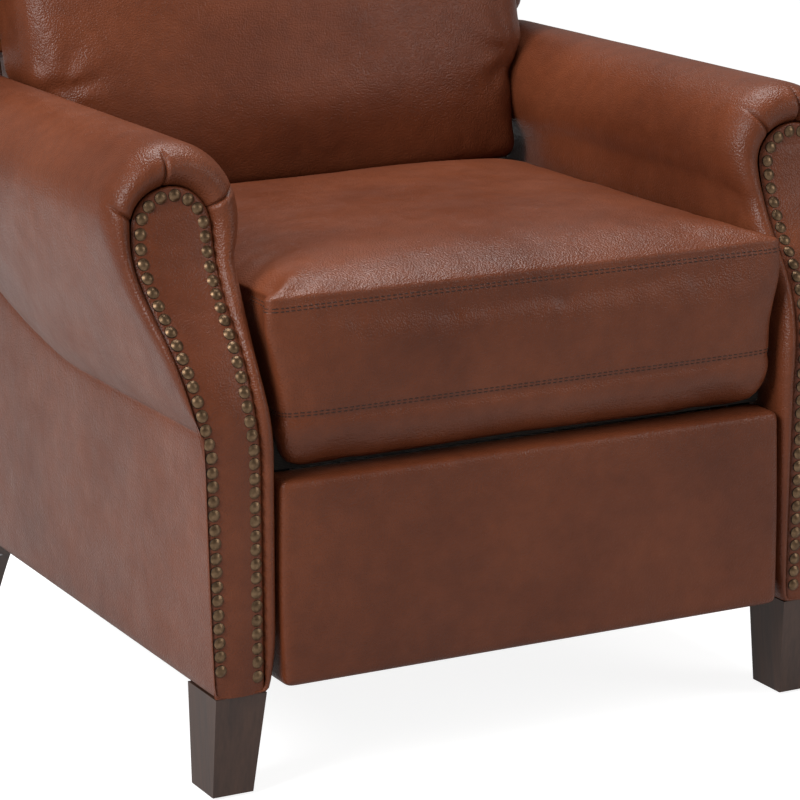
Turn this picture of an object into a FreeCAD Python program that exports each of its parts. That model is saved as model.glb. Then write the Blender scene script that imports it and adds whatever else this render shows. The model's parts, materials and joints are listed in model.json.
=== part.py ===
import FreeCAD, Part
import math
import os
import Sketcher
from FreeCAD import Placement, Rotation, Vector
from types import SimpleNamespace

# A wingback recliner that opens when the sitter pushes the back.
# Millimetres. X is to the right of someone facing the chair, Y goes from its front to its
# back, Z goes up from the floor. The origin is on the floor, in the middle of its outline.
# Places along Y are counted from the front of the arms and placed with front_y.
# Angles of the linkage turn from +Y towards +Z.

SIZES = {
    # Arms: a flat base, a sweep back above it and a roll on top
    "base_z": 104.0,
    "arm_inner_x": 277.0,
    "arm_base_thick": 56.0,
    "arm_base_flare": 7.0,
    "arm_crease_z": 357.0,
    "arm_flank_x": 369.0,
    "arm_flank_z": 440.0,
    "roll_x": 326.0,
    "roll_z": 539.0,
    "roll_radius": 67.0,
    "arm_length": 672.0,
    "arm_front_round": 5.0,
    "arm_rear_round": 25.0,
    "belly_depth": 9.5,
    "belly_z": 345.0,
    "sweep_depth": 81.5,
    "sweep_top_z": 560.0,
    # Arm facing and its nails
    "facing_thick": 5.0,
    "facing_foot_inner_x": 282.0,
    "facing_foot_outer_x": 332.5,
    "facing_waist_inner_x": 283.5,
    "facing_waist_outer_x": 339.5,
    "facing_waist_z": 335.0,
    "facing_shoulder_x": 369.5,
    "facing_shoulder_z": 487.0,
    "facing_bow": 3.5,
    "facing_top_x": 331.0,
    "facing_top_z": 529.0,
    "facing_top_radius": 39.0,
    "nail_inset": 8.0,
    "nail_outer_inset": 6.5,
    "nail_pitch": 13.5,
    "nail_start": 17.0,
    "nail_radius": 5.4,
    "nail_tall": 2.6,
    "nail_lift": 0.25,
    # Arm frame
    "frame_board_thick": 26.0,
    "frame_board_gap": 16.0,
    "frame_board_set_back": 14.0,
    "frame_board_tall": 400.0,
    "frame_board_long": 646.0,
    # Legs: straight tapered ones in front, swept ones behind
    "leg_top_wide": 51.0,
    "leg_foot_wide": 41.0,
    "leg_outer_taper": 2.0,
    "front_leg_y": 1.0,
    "front_leg_top_deep": 65.0,
    "front_leg_foot_deep": 49.0,
    "front_leg_rake": 19.0,
    "rear_leg_wide": 38.0,
    "rear_leg_y": 612.0,
    "rear_leg_top_deep": 60.0,
    "rear_leg_foot_deep": 38.0,
    "rear_leg_sweep": 82.0,
    "rear_leg_bow": 4.0,
    "leg_glide_tall": 3.0,
    "leg_glide_radius": 12.0,
    "leg_bolt_radius": 4.0,
    "leg_bolt_long": 60.0,
    "front_bolt_y": 34.0,
    "rear_bolt_y": 642.0,
    # Stretchers and slide rails
    "stretcher_thick": 24.0,
    "stretcher_lift": 8.0,
    "stretcher_tall": 66.0,
    "front_stretcher_y": 172.0,
    "rear_panel_y": 644.0,
    "rear_panel_tall": 194.0,
    "rail_thick": 3.0,
    "rail_wide": 11.0,
    "rail_tall": 45.0,
    "rail_z": 187.0,
    "rail_y": 150.0,
    "rail_long": 440.0,
    "shoe_tall": 25.0,
    "shoe_long": 60.0,
    "shoe_front_y": 250.0,
    "shoe_rear_y": 460.0,
    # Seat frame
    "plate_outer_x": 265.0,
    "plate_thick": 3.0,
    "plate_front_y": 112.0,
    "plate_rear_y": 672.0,
    "plate_top_z": 334.0,
    "plate_nose_z": 236.0,
    "plate_foot_z": 192.0,
    "plate_nose_long": 68.0,
    "plate_foot_rear_y": 540.0,
    "plate_tail_y": 580.0,
    "plate_tail_half": 22.0,
    "seat_rail_tall": 27.0,
    "seat_front_rail_y": 25.0,
    "seat_rear_rail_y": 520.0,
    "seat_rail_deep": 34.0,
    "spring_count": 5.0,
    "spring_wire": 4.0,
    "spring_bend": 14.0,
    "spring_half_wide": 24.0,
    "spring_pitch": 96.0,
    "clip_wide": 70.0,
    "clip_deep": 16.0,
    "clip_thick": 1.5,
    "deck_thick": 4.0,
    "soft_gap": 0.4,
    # Seat cushion
    "side_swell": 1.0,
    "seat_half": 265.0,
    "seat_front": 8.0,
    "seat_rear_y": 518.0,
    "seat_low_z": 307.5,
    "seat_seam_z": 468.0,
    "seat_crown": 22.0,
    "seat_lip_deep": 30.0,
    # Back, which leans by back_rake
    "back_rake": 14.0,
    "back_foot_y": 566.0,
    "back_foot_z": 330.0,
    "back_long": 724.0,
    "stile_outer_x": 254.0,
    "stile_wide": 30.0,
    "stile_deep": 45.0,
    "cross_rail_deep": 25.0,
    "cross_rail_tall": 60.0,
    "bottom_rail_lift": 12.0,
    "mid_rail_lift": 312.0,
    "outside_back_lift": 50.0,
    "top_rail_drop": 12.0,
    "strap_count": 5.0,
    "strap_tall": 50.0,
    "strap_thick": 2.0,
    "strap_lift": 170.0,
    "strap_pitch": 105.0,
    "outside_back_thick": 22.0,
    "outside_back_half": 258.0,
    # Back cushion, a T that widens over the arms
    "cushion_low_half": 255.0,
    "cushion_high_half": 297.0,
    "cushion_foot_z": 480.0,
    "cushion_top_z": 1012.0,
    "lumbar_thick": 100.0,
    "lumbar_crown": 47.0,
    "head_thick": 84.0,
    "head_crown": 32.0,
    "over_arm_gap": 5.5,
    "notch_overlap": 40.0,
    # Wings
    "wing_inner_x": 300.0,
    "wing_thick": 48.0,
    "wing_foot_y": 652.0,
    "wing_reach_y": 558.0,
    "wing_reach_z": 860.0,
    "wing_shoulder_y": 668.0,
    "wing_shoulder_z": 1010.0,
    "wing_top_z": 1024.0,
    "wing_round": 10.0,
    "wing_bend": 13.0,
    # Back pivot
    "back_pivot_y": 655.0,
    "back_pivot_z": 330.0,
    "back_pin_radius": 6.0,
    "bracket_thick": 3.0,
    "bracket_tall": 95.0,
    "bracket_half": 16.0,
    # Footrest
    "rest_front": 10.0,
    "rest_low_z": 107.0,
    "rest_top_z": 303.0,
    "rest_low_half": 266.5,
    "rest_top_half": 264.0,
    "rest_pad_thick": 31.0,
    "rest_board_thick": 16.0,
    "rest_board_inset": 10.0,
    "rest_rim": 5.0,
    "rest_bracket_thick": 3.0,
    "rest_flange_wide": 25.0,
    # Footrest linkage: two crossed pairs of links on each side
    "lift_y": 136.0,
    "lift_z": 268.0,
    "rear_angle": 270.0,
    "cross_angle": 116.0,
    "rear_to_cross": 95.0,
    "cross_to_end": 56.0,
    "carrier_to_end": 90.0,
    "cross_to_head": 112.0,
    "head_to_head": 88.0,
    "drive_tail": 18.0,
    "drive_y": 151.8,
    "drive_z": 250.8,
    "drive_long": 95.2,
    "drive_angle": 266.1,
    "drive_play": 2.3,
    "link_wide": 16.0,
    "link_thick": 3.0,
    "link_gap": 1.0,
    "drive_gap": 2.0,
    "rivet_radius": 4.0,
    "running_gap": 0.05,
    "tube_radius": 7.0,
    # Clearance between parts that rest on or run past each other
    "face_gap": 0.3,
}

doc = FreeCAD.newDocument("wingback_recliner")


class Size:
    """A number with the text that ties a property of the document to the sheet."""

    def __init__(self, value, text):
        self.value = value
        self.text = text

    def __float__(self):
        return float(self.value)

    def __add__(self, other):
        other = as_size(other)
        return Size(self.value + other.value, "(%s + %s)" % (self.text, other.text))

    def __sub__(self, other):
        other = as_size(other)
        return Size(self.value - other.value, "(%s - %s)" % (self.text, other.text))

    def __mul__(self, other):
        other = as_size(other)
        return Size(self.value * other.value, "(%s * %s)" % (self.text, other.text))

    def __truediv__(self, other):
        other = as_size(other)
        return Size(self.value / other.value, "(%s / %s)" % (self.text, other.text))

    def __neg__(self):
        return Size(-self.value, "(0 - %s)" % self.text)


def as_size(number):
    return number if isinstance(number, Size) else Size(number, repr(float(number)))


def cosine(angle):
    return Size(math.cos(math.radians(angle.value)), "cos(%s * 1 deg)" % angle.text)


def sine(angle):
    return Size(math.sin(math.radians(angle.value)), "sin(%s * 1 deg)" % angle.text)


def depth_of_chair():
    """The front and the rear limit of the chair, counted from the front of the arms."""
    rake = math.radians(SIZES["back_rake"])
    back_deep = SIZES["stile_deep"] + SIZES["cross_rail_deep"] + SIZES["outside_back_thick"]
    rear = SIZES["back_foot_y"] + SIZES["back_long"] * math.sin(rake) + back_deep * math.cos(rake)
    front = -SIZES["belly_depth"] - SIZES["nail_lift"] - SIZES["nail_tall"]
    return front, rear


SIZES["front_y"] = -sum(depth_of_chair()) / 2

sheet = doc.addObject("Spreadsheet::Sheet", "Sizes")
size = SimpleNamespace()
for row, (alias, number) in enumerate(SIZES.items(), start=1):
    sheet.set("A%d" % row, alias)
    sheet.set("B%d" % row, repr(number))
    sheet.setAlias("B%d" % row, alias)
    setattr(size, alias, Size(number, "Sizes." + alias))
doc.recompute()

SIDES = {"left": -1, "right": 1}
nodes = []


# Helpers that make objects of the document

def bind(item, prop, length):
    item.setExpression(prop, as_size(length).text)


def place(item, x, y, z, axis=None, angle=None):
    """Puts an object at a place that the sheet gives, turned about one axis."""
    turn = Rotation(axis, float(angle)) if axis else Rotation()
    item.Placement = Placement(Vector(float(x), float(y), float(z)), turn)
    bind(item, "Placement.Base.x", x)
    bind(item, "Placement.Base.y", y)
    bind(item, "Placement.Base.z", z)
    if axis:
        bind(item, "Placement.Rotation.Angle", angle)


def named(item, label):
    """Marks an object as a sub-part of the chair, exported under this label."""
    item.Label = label
    nodes.append(item)
    return item


def box(name, x, y, z, wide, deep, tall, rake=None):
    item = doc.addObject("Part::Box", name)
    bind(item, "Length", wide)
    bind(item, "Width", deep)
    bind(item, "Height", tall)
    if rake is None:
        place(item, x, y, z)
    else:
        place(item, x, y, z, Vector(1, 0, 0), -rake)
    return item


def rod(name, x, y, z, radius, long):
    """A cylinder along X that starts at x."""
    item = doc.addObject("Part::Cylinder", name)
    bind(item, "Radius", radius)
    bind(item, "Height", long)
    place(item, x, y, z, Vector(0, 1, 0), as_size(90))
    return item


def fuse(name, items):
    joined = doc.addObject("Part::MultiFuse", name)
    joined.Shapes = items
    return joined


def cut(name, base, tool):
    result = doc.addObject("Part::Cut", name)
    result.Base = base
    result.Tool = tool
    return result


def group(name, items):
    """Several separate solids of one kind, kept in one sub-part."""
    bundle = doc.addObject("Part::Compound", name)
    bundle.Links = items
    return bundle


def feature(name, shape):
    item = doc.addObject("Part::Feature", name)
    item.Shape = shape
    return item


def yz_sketch(body, name):
    plane = [part for part in body.Origin.OriginFeatures if part.Role == "YZ_Plane"][0]
    sketch = body.newObject("Sketcher::SketchObject", name)
    sketch.AttachmentSupport = [(plane, "")]
    sketch.MapMode = "FlatFace"
    return sketch


def fix(sketch, kind, where, length):
    """A driving constraint whose value comes from the sheet."""
    number = sketch.addConstraint(Sketcher.Constraint(kind, *where, float(length)))
    sketch.setExpression("Constraints[%d]" % number, as_size(length).text)


def hole(sketch, along, up, radius):
    circle = Part.Circle(Vector(float(along), float(up), 0), Vector(0, 0, 1), float(radius))
    index = sketch.addGeometry(circle)
    fix(sketch, "Radius", (index,), radius)
    if float(along):
        fix(sketch, "DistanceX", (-1, 1, index, 3), along)
    else:
        sketch.addConstraint(Sketcher.Constraint("PointOnObject", index, 3, -2))
    if float(up):
        fix(sketch, "DistanceY", (-1, 1, index, 3), up)
    else:
        sketch.addConstraint(Sketcher.Constraint("PointOnObject", index, 3, -1))


def pad(body, sketch, thick):
    solid = body.newObject("PartDesign::Pad", body.Name + "_pad")
    solid.Profile = sketch
    bind(solid, "Length", thick)
    sketch.Visibility = False
    return solid


def plate(name, x, thick, outline, holes):
    """A flat plate square to X. Its outline and holes are (y, z) pairs from the arm front."""
    body = doc.addObject("PartDesign::Body", name)
    sketch = yz_sketch(body, name + "_outline")
    points = [Vector(float(along), float(up), 0) for along, up in outline]
    last = len(points) - 1
    for index, point in enumerate(points):
        after = points[0] if index == last else points[index + 1]
        sketch.addGeometry(Part.LineSegment(point, after))
    for index in range(len(points)):
        after = 0 if index == last else index + 1
        sketch.addConstraint(Sketcher.Constraint("Coincident", index, 2, after, 1))
    for index, (along, up) in enumerate(outline):
        fix(sketch, "DistanceX", (-1, 1, index, 1), along)
        fix(sketch, "DistanceY", (-1, 1, index, 1), up)
    for along, up, radius in holes:
        hole(sketch, along, up, radius)
    pad(body, sketch, thick)
    place(body, x, size.front_y, as_size(0))
    return body


def link(name, x, y, z, angle, start, end, holes):
    """A flat bar with round ends, from start to end along its own line through (y, z)."""
    body = doc.addObject("PartDesign::Body", name)
    sketch = yz_sketch(body, name + "_outline")
    half = size.link_wide / 2
    low, high, reach = float(start), float(end), float(half)
    top = sketch.addGeometry(Part.LineSegment(Vector(high, reach, 0), Vector(low, reach, 0)))
    tail = sketch.addGeometry(Part.ArcOfCircle(
        Part.Circle(Vector(low, 0, 0), Vector(0, 0, 1), reach), math.pi / 2, 3 * math.pi / 2))
    under = sketch.addGeometry(Part.LineSegment(Vector(low, -reach, 0), Vector(high, -reach, 0)))
    head = sketch.addGeometry(Part.ArcOfCircle(
        Part.Circle(Vector(high, 0, 0), Vector(0, 0, 1), reach), -math.pi / 2, math.pi / 2))
    for first, first_end, second, second_end in (
            (top, 2, tail, 1), (tail, 2, under, 1), (under, 2, head, 1), (head, 2, top, 1)):
        sketch.addConstraint(Sketcher.Constraint("Tangent", first, first_end, second, second_end))
    sketch.addConstraint(Sketcher.Constraint("PointOnObject", tail, 3, -1))
    sketch.addConstraint(Sketcher.Constraint("PointOnObject", head, 3, -1))
    fix(sketch, "Radius", (head,), half)
    fix(sketch, "DistanceX", (-1, 1, head, 3), end)
    if low:
        fix(sketch, "DistanceX", (tail, 3, -1, 1), -start)
    else:
        sketch.addConstraint(Sketcher.Constraint("PointOnObject", tail, 3, -2))
    for along, radius in holes:
        hole(sketch, along, as_size(0), radius)
    pad(body, sketch, size.link_thick)
    place(body, x, y, z, Vector(1, 0, 0), angle)
    return body


# Helpers for swept and lofted shapes, which read plain numbers

def arc(start, middle, end):
    return Part.Arc(start, middle, end).toShape()


def line(start, end):
    return Part.LineSegment(start, end).toShape()


def mirrored(shape):
    return shape.mirror(Vector(0, 0, 0), Vector(1, 0, 0))


def sided(side, shape):
    """The shapes are drawn on the right and mirrored to the left."""
    return shape if side == "right" else mirrored(shape)


def pillow_ring(corners, bulges):
    """A closed ring through four corners, each side an arc that swells by its bulge."""
    centre = (corners[0] + corners[1] + corners[2] + corners[3]) * 0.25
    edges = []
    for index, bulge in enumerate(bulges):
        start = corners[index]
        end = corners[(index + 1) % len(corners)]
        middle = (start + end) * 0.5
        if bulge:
            away = middle - centre
            across = (end - start).normalize()
            away = (away - across * away.dot(across)).normalize()
            edges.append(arc(start, middle + away * bulge, end))
        else:
            edges.append(line(start, end))
    return Part.Wire(edges)


def loft(rings):
    return Part.makeLoft(rings, True, False)


# Arms

INNER = float(size.arm_inner_x)
BASE_Z = float(size.base_z)
FRONT = float(size.front_y)
ROLL_TOP = float(size.roll_z + size.roll_radius)
FAR = float(size.arm_length)
LEG_X = INNER + float(size.frame_board_gap) + float(size.frame_board_thick) / 2


def leg_bolt(depth):
    """A bolt that holds a leg to the board above it."""
    long = float(size.leg_bolt_long)
    start = Vector(LEG_X, FRONT + depth, BASE_Z - long / 2)
    return Part.makeCylinder(float(size.leg_bolt_radius), long, start)


def front_points():
    """Where the front of the arm turns: foot, belly, middle and top of the sweep."""
    belly = Vector(0, -float(size.belly_depth), float(size.belly_z))
    top = Vector(0, belly.y + float(size.sweep_depth), float(size.sweep_top_z))
    middle = (belly + top) * 0.5
    foot = Vector(0, 0, BASE_Z)
    return foot, belly, middle, top


def sweep_radius():
    foot, belly, middle, top = front_points()
    rise = middle.z - belly.z
    run = middle.y - belly.y
    return (rise * rise + run * run) / (2 * run)


def front_depth(height):
    """How far back the front surface of the facing lies at a height."""
    foot, belly, middle, top = front_points()
    radius = sweep_radius()
    if height <= belly.z:
        return belly.y * (height - foot.z) / (belly.z - foot.z)
    if height <= middle.z:
        return belly.y + radius - math.sqrt(radius ** 2 - (height - belly.z) ** 2)
    if height <= top.z:
        return top.y - radius + math.sqrt(radius ** 2 - (top.z - height) ** 2)
    return top.y


def front_slab(start, end):
    """What lies between two copies of the front line, start and end behind it."""
    margin = float(size.roll_radius)
    foot, belly, middle, top = front_points()
    low = Vector(0, foot.y - (belly.y - foot.y) * margin / (belly.z - foot.z), foot.z - margin)
    high = Vector(0, top.y, ROLL_TOP + margin)

    def at(point, behind):
        return Vector(0, point.y + behind + FRONT, point.z)

    def halfway(one, other):
        height = (one.z + other.z) / 2
        return Vector(0, front_depth(height), height)

    def run(behind):
        return [line(at(low, behind), at(belly, behind)),
                arc(at(belly, behind), at(halfway(belly, middle), behind), at(middle, behind)),
                arc(at(middle, behind), at(halfway(middle, top), behind), at(top, behind)),
                line(at(top, behind), at(high, behind))]

    edges = run(start) + run(end)
    edges.append(line(at(low, start), at(low, end)))
    edges.append(line(at(high, start), at(high, end)))
    ring = Part.Wire(Part.__sortEdges__(edges))
    return Part.Face(ring).extrude(Vector(2 * INNER, 0, 0))


def arm_section(depth):
    """The outline of the right arm square to Y."""
    x, z, radius = float(size.roll_x), float(size.roll_z), float(size.roll_radius)
    outer_foot = INNER + float(size.arm_base_thick)
    crease = Vector(outer_foot + float(size.arm_base_flare), depth, float(size.arm_crease_z))
    flank = Vector(float(size.arm_flank_x), depth, float(size.arm_flank_z))
    slant = math.sqrt(radius ** 2 - (x - INNER) ** 2)
    tuck = Vector(INNER, depth, z - slant)
    half = math.sqrt(0.5) * radius
    under = math.acos((x - INNER) / radius) / 2
    low_roll = Vector(x - radius * math.cos(under), depth, z - radius * math.sin(under))
    return Part.Wire([
        line(Vector(INNER, depth, BASE_Z), Vector(outer_foot, depth, BASE_Z)),
        line(Vector(outer_foot, depth, BASE_Z), crease),
        arc(crease, flank, Vector(x + radius, depth, z)),
        arc(Vector(x + radius, depth, z), Vector(x + half, depth, z + half),
            Vector(x, depth, z + radius)),
        arc(Vector(x, depth, z + radius), Vector(x - half, depth, z + half),
            Vector(x - radius, depth, z)),
        arc(Vector(x - radius, depth, z), low_roll, tuck),
        line(tuck, Vector(INNER, depth, BASE_Z))])


def frame_board_outline():
    """The wooden board in the arm: set back from the front, up into the roll."""
    start = float(size.frame_board_set_back)
    low_end = FRONT + start
    long = float(size.frame_board_long)
    tall = float(size.frame_board_tall)
    setback = float(size.sweep_depth) - float(size.belly_depth)
    return [Vector(0, low_end, BASE_Z),
            Vector(0, low_end + long, BASE_Z),
            Vector(0, low_end + long, BASE_Z + tall),
            Vector(0, low_end + setback, BASE_Z + tall),
            Vector(0, low_end, float(size.belly_z))]


def arm_board():
    inner = INNER + float(size.frame_board_gap)
    points = [Vector(inner, point.y, point.z) for point in frame_board_outline()]
    ring = Part.makePolygon(points + [points[0]])
    slab = Part.Face(ring).extrude(Vector(float(size.frame_board_thick), 0, 0))
    for depth in (float(size.front_bolt_y), float(size.rear_bolt_y)):
        slab = slab.cut(leg_bolt(depth))
    return slab.Solids[0]


def arm_pad():
    """Padding and leather around the board, open below, with a rounded rim in front."""
    margin = float(size.roll_radius)
    front = FRONT - float(size.belly_depth) - margin
    body = Part.Face(arm_section(front)).extrude(Vector(0, FRONT + FAR - front, 0))
    body = body.cut(front_slab(-2 * INNER, float(size.facing_thick)))
    limit = FRONT + float(size.sweep_depth)
    rim = []
    for edge in body.Edges:
        reach = edge.BoundBox
        if reach.YMax < limit and reach.ZMax > BASE_Z and reach.ZLength > float(size.face_gap):
            rim.append(edge)
    body = body.makeFillet(float(size.arm_front_round), rim)
    turn = float(size.arm_rear_round)
    corner = Vector(INNER - margin, FRONT + FAR - turn, ROLL_TOP - turn)
    block = Part.makeBox(4 * margin, 2 * turn, 2 * turn, corner)
    wheel = Part.makeCylinder(turn, 4 * margin, corner, Vector(1, 0, 0))
    body = body.cut(block.cut(wheel))
    inner = INNER + float(size.frame_board_gap)
    points = [Vector(inner, point.y, point.z) for point in frame_board_outline()]
    room = Part.Face(Part.makePolygon(points + [points[0]]))
    return body.cut(room.extrude(Vector(float(size.frame_board_thick), 0, 0))).Solids[0]


def facing_line(depth, inset, outer_inset):
    """The edge of the right facing, from its inner to its outer foot, moved in by the insets."""
    foot_inner = Vector(float(size.facing_foot_inner_x) + inset, depth, BASE_Z)
    waist_z = float(size.facing_waist_z)
    waist_inner = Vector(float(size.facing_waist_inner_x) + inset, depth, waist_z)
    centre = Vector(float(size.facing_top_x), depth, float(size.facing_top_z))
    radius = float(size.facing_top_radius) - inset
    across, up = Vector(radius, 0, 0), Vector(0, 0, radius)
    corner = math.sqrt(0.5)
    bow = Vector(float(size.facing_bow), 0, 0)
    shoulder = Vector(float(size.facing_shoulder_x) - inset, depth, float(size.facing_shoulder_z))
    waist_outer = Vector(float(size.facing_waist_outer_x) - outer_inset, depth, waist_z)
    foot_outer = Vector(float(size.facing_foot_outer_x) - outer_inset, depth, BASE_Z)
    left, top, right = centre - across, centre + up, centre + across
    return [line(foot_inner, waist_inner),
            arc(waist_inner, (waist_inner + left) * 0.5 + bow, left),
            arc(left, centre - across * corner + up * corner, top),
            arc(top, centre + across * corner + up * corner, right),
            arc(right, (right + shoulder) * 0.5 + bow * 0.5, shoulder),
            line(shoulder, waist_outer),
            line(waist_outer, foot_outer)]


def nail_path():
    """The line of the nails over the right facing, as points close together."""
    wire = Part.Wire(facing_line(0, float(size.nail_inset), float(size.nail_outer_inset)))
    start = BASE_Z + float(size.nail_start)
    return [point for point in wire.discretize(Distance=1.0) if point.z > start]


def facing_outline():
    depth = FRONT - float(size.roll_radius)
    edges = facing_line(depth, 0, 0)
    start, end = edges[0].Vertexes[0].Point, edges[-1].Vertexes[-1].Point
    return Part.Wire(edges + [line(end, start)])


def nails():
    """Domed nails at an even pitch along the path, each square to the facing."""
    radius, tall = float(size.nail_radius), float(size.nail_tall)
    sphere = (radius ** 2 + tall ** 2) / (2 * tall)
    low = math.degrees(math.asin((sphere - tall) / sphere))
    dome = Part.makeSphere(sphere, Vector(0, 0, tall - sphere), Vector(0, 0, 1), low, 90, 360)
    pitch = float(size.nail_pitch)
    travelled = pitch
    previous = None
    heads = []
    for point in nail_path():
        place_on = Vector(point.x, front_depth(point.z), point.z)
        if previous:
            travelled += place_on.distanceToPoint(previous)
        previous = place_on
        if travelled < pitch:
            continue
        travelled -= pitch
        slope = front_depth(point.z + 0.5) - front_depth(point.z - 0.5)
        normal = Vector(0, -1, slope).normalize()
        head = dome.copy()
        base = Vector(place_on.x, place_on.y + FRONT, place_on.z) + normal * float(size.nail_lift)
        head.Placement = Placement(base, Rotation(Vector(0, 0, 1), normal))
        heads.append(head)
    return Part.makeCompound(heads)


for side in SIDES:
    facing = Part.Face(facing_outline()).extrude(Vector(0, 4 * float(size.roll_radius), 0))
    facing = facing.common(front_slab(0, float(size.facing_thick))).Solids[0]
    named(feature(side + "_arm_frame", sided(side, arm_board())), side + "_arm_frame")
    named(feature(side + "_arm_pad", sided(side, arm_pad())), side + "_arm_pad")
    named(feature(side + "_arm_facing", sided(side, facing)), side + "_arm_facing")
    named(feature(side + "_arm_nails", sided(side, nails())), side + "_arm_nails")


# Legs, their glides and bolts

def front_leg():
    outer = LEG_X + float(size.leg_top_wide) / 2
    inner = outer - float(size.leg_top_wide)
    front = FRONT + float(size.front_leg_y)
    rear = front + float(size.front_leg_top_deep)
    low_outer = outer - float(size.leg_outer_taper)
    low_inner = low_outer - float(size.leg_foot_wide)
    low_front = front + float(size.front_leg_rake)
    low_rear = low_front + float(size.front_leg_foot_deep)
    foot = float(size.leg_glide_tall)
    top = [Vector(inner, front, BASE_Z), Vector(outer, front, BASE_Z),
           Vector(outer, rear, BASE_Z), Vector(inner, rear, BASE_Z)]
    low = [Vector(low_inner, low_front, foot), Vector(low_outer, low_front, foot),
           Vector(low_outer, low_rear, foot), Vector(low_inner, low_rear, foot)]
    rings = [Part.makePolygon(ring + [ring[0]]) for ring in (low, top)]
    return Part.makeLoft(rings, True, True)


def rear_leg():
    wide = float(size.rear_leg_wide)
    x = LEG_X + float(size.leg_top_wide) / 2 - wide
    front = FRONT + float(size.rear_leg_y)
    rear = front + float(size.rear_leg_top_deep)
    foot_front = front + float(size.rear_leg_sweep)
    foot_rear = foot_front + float(size.rear_leg_foot_deep)
    foot = float(size.leg_glide_tall)
    half_up = (BASE_Z + foot) / 2
    bow = float(size.rear_leg_bow)
    corners = [Vector(x, front, BASE_Z), Vector(x, foot_front, foot),
               Vector(x, foot_rear, foot), Vector(x, rear, BASE_Z)]
    ring = Part.Wire([
        arc(corners[0], Vector(x, (front + foot_front) / 2 + bow, half_up), corners[1]),
        line(corners[1], corners[2]),
        arc(corners[2], Vector(x, (rear + foot_rear) / 2 + bow / 2, half_up), corners[3]),
        line(corners[3], corners[0])])
    return Part.Face(ring).extrude(Vector(wide, 0, 0))


front_foot_y = size.front_leg_y + size.front_leg_rake + size.front_leg_foot_deep / 2
rear_foot_y = size.rear_leg_y + size.rear_leg_sweep + size.rear_leg_foot_deep / 2
front_foot_x = LEG_X + float(size.leg_top_wide / 2 - size.leg_outer_taper - size.leg_foot_wide / 2)
rear_foot_x = LEG_X + float(size.leg_top_wide - size.rear_leg_wide) / 2
glides = []
for side in SIDES:
    for leg_end, leg_shape, depth in (("front", front_leg(), float(size.front_bolt_y)),
                                      ("rear", rear_leg(), float(size.rear_bolt_y))):
        leg = leg_shape.cut(leg_bolt(depth)).Solids[0]
        label = "%s_%s_leg" % (leg_end, side)
        named(feature(label, sided(side, leg)), label)
    for x, depth in ((front_foot_x, front_foot_y), (rear_foot_x, rear_foot_y)):
        spot = Vector(x, FRONT + float(depth), 0)
        glide = Part.makeCylinder(float(size.leg_glide_radius), float(size.leg_glide_tall), spot)
        glides.append(sided(side, glide))
named(feature("leg_glides", Part.makeCompound(glides)), "leg_glides")
bolts = [sided(side, leg_bolt(depth)) for side in SIDES
         for depth in (float(size.front_bolt_y), float(size.rear_bolt_y))]
named(feature("leg_bolts", Part.makeCompound(bolts)), "leg_bolts")


# A stretcher and a rear panel join the arms, and rails carry the seat

named(box("front_stretcher", -size.arm_inner_x, size.front_y + size.front_stretcher_y,
          size.base_z + size.stretcher_lift, size.arm_inner_x * 2, size.stretcher_thick,
          size.stretcher_tall), "front_stretcher")
named(box("rear_panel", -size.arm_inner_x, size.front_y + size.rear_panel_y, size.base_z,
          size.arm_inner_x * 2, size.stretcher_thick, size.rear_panel_tall), "rear_panel")

for side, sign in SIDES.items():
    low_x = size.arm_inner_x - size.rail_wide
    wall_x = size.arm_inner_x - size.rail_thick
    if side == "left":
        low_x, wall_x = -size.arm_inner_x, -size.arm_inner_x
    ledge = box(side + "_rail_ledge", low_x, size.front_y + size.rail_y, size.rail_z,
                size.rail_wide, size.rail_long, size.rail_thick)
    wall = box(side + "_rail_wall", wall_x, size.front_y + size.rail_y, size.rail_z,
               size.rail_thick, size.rail_long, size.rail_tall)
    label = side + "_slide_rail"
    named(fuse(label, [ledge, wall]), label)


# Seat frame between two steel side plates

def layer(side, outer):
    """Where a plate of the mechanism starts along X, on either side."""
    return -outer if side == "left" else outer - size.plate_thick


plate_outline = [
    (size.plate_front_y, size.plate_nose_z),
    (size.plate_front_y + size.plate_nose_long, size.plate_nose_z),
    (size.plate_front_y + size.plate_nose_long + size.link_wide, size.plate_foot_z),
    (size.plate_foot_rear_y, size.plate_foot_z),
    (size.plate_tail_y, size.back_pivot_z - size.plate_tail_half),
    (size.plate_rear_y, size.back_pivot_z - size.plate_tail_half),
    (size.plate_rear_y, size.back_pivot_z + size.plate_tail_half),
    (size.plate_tail_y, size.back_pivot_z + size.plate_tail_half),
    (size.plate_tail_y - size.plate_tail_half, size.plate_top_z),
    (size.plate_front_y, size.plate_top_z)]
plate_holes = [
    (size.lift_y, size.lift_z, size.rivet_radius),
    (size.drive_y, size.drive_z, size.rivet_radius),
    (size.back_pivot_y, size.back_pivot_z, size.back_pin_radius)]
for side in SIDES:
    label = side + "_side_plate"
    named(plate(label, layer(side, size.plate_outer_x), size.plate_thick, plate_outline,
                plate_holes), label)

rail_x = size.plate_outer_x - size.plate_thick
for label, depth in (("seat_front_rail", size.seat_front_rail_y),
                     ("seat_rear_rail", size.seat_rear_rail_y)):
    rail = box(label, -rail_x, size.front_y + depth, size.plate_top_z - size.seat_rail_tall,
               rail_x * 2, size.seat_rail_deep, size.seat_rail_tall)
    named(rail, label)

shoes = []
for side in SIDES:
    for depth in (size.shoe_front_y, size.shoe_rear_y):
        wide = size.rail_wide - size.rail_thick + (
            size.arm_inner_x - size.rail_wide - size.plate_outer_x) - size.face_gap
        x = -size.plate_outer_x - wide if side == "left" else size.plate_outer_x
        shoes.append(box("glide_shoe", x, size.front_y + depth,
                         size.rail_z + size.rail_thick + size.face_gap,
                         wide, size.shoe_long, size.shoe_tall))
named(group("glide_shoes", shoes), "glide_shoes")


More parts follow.
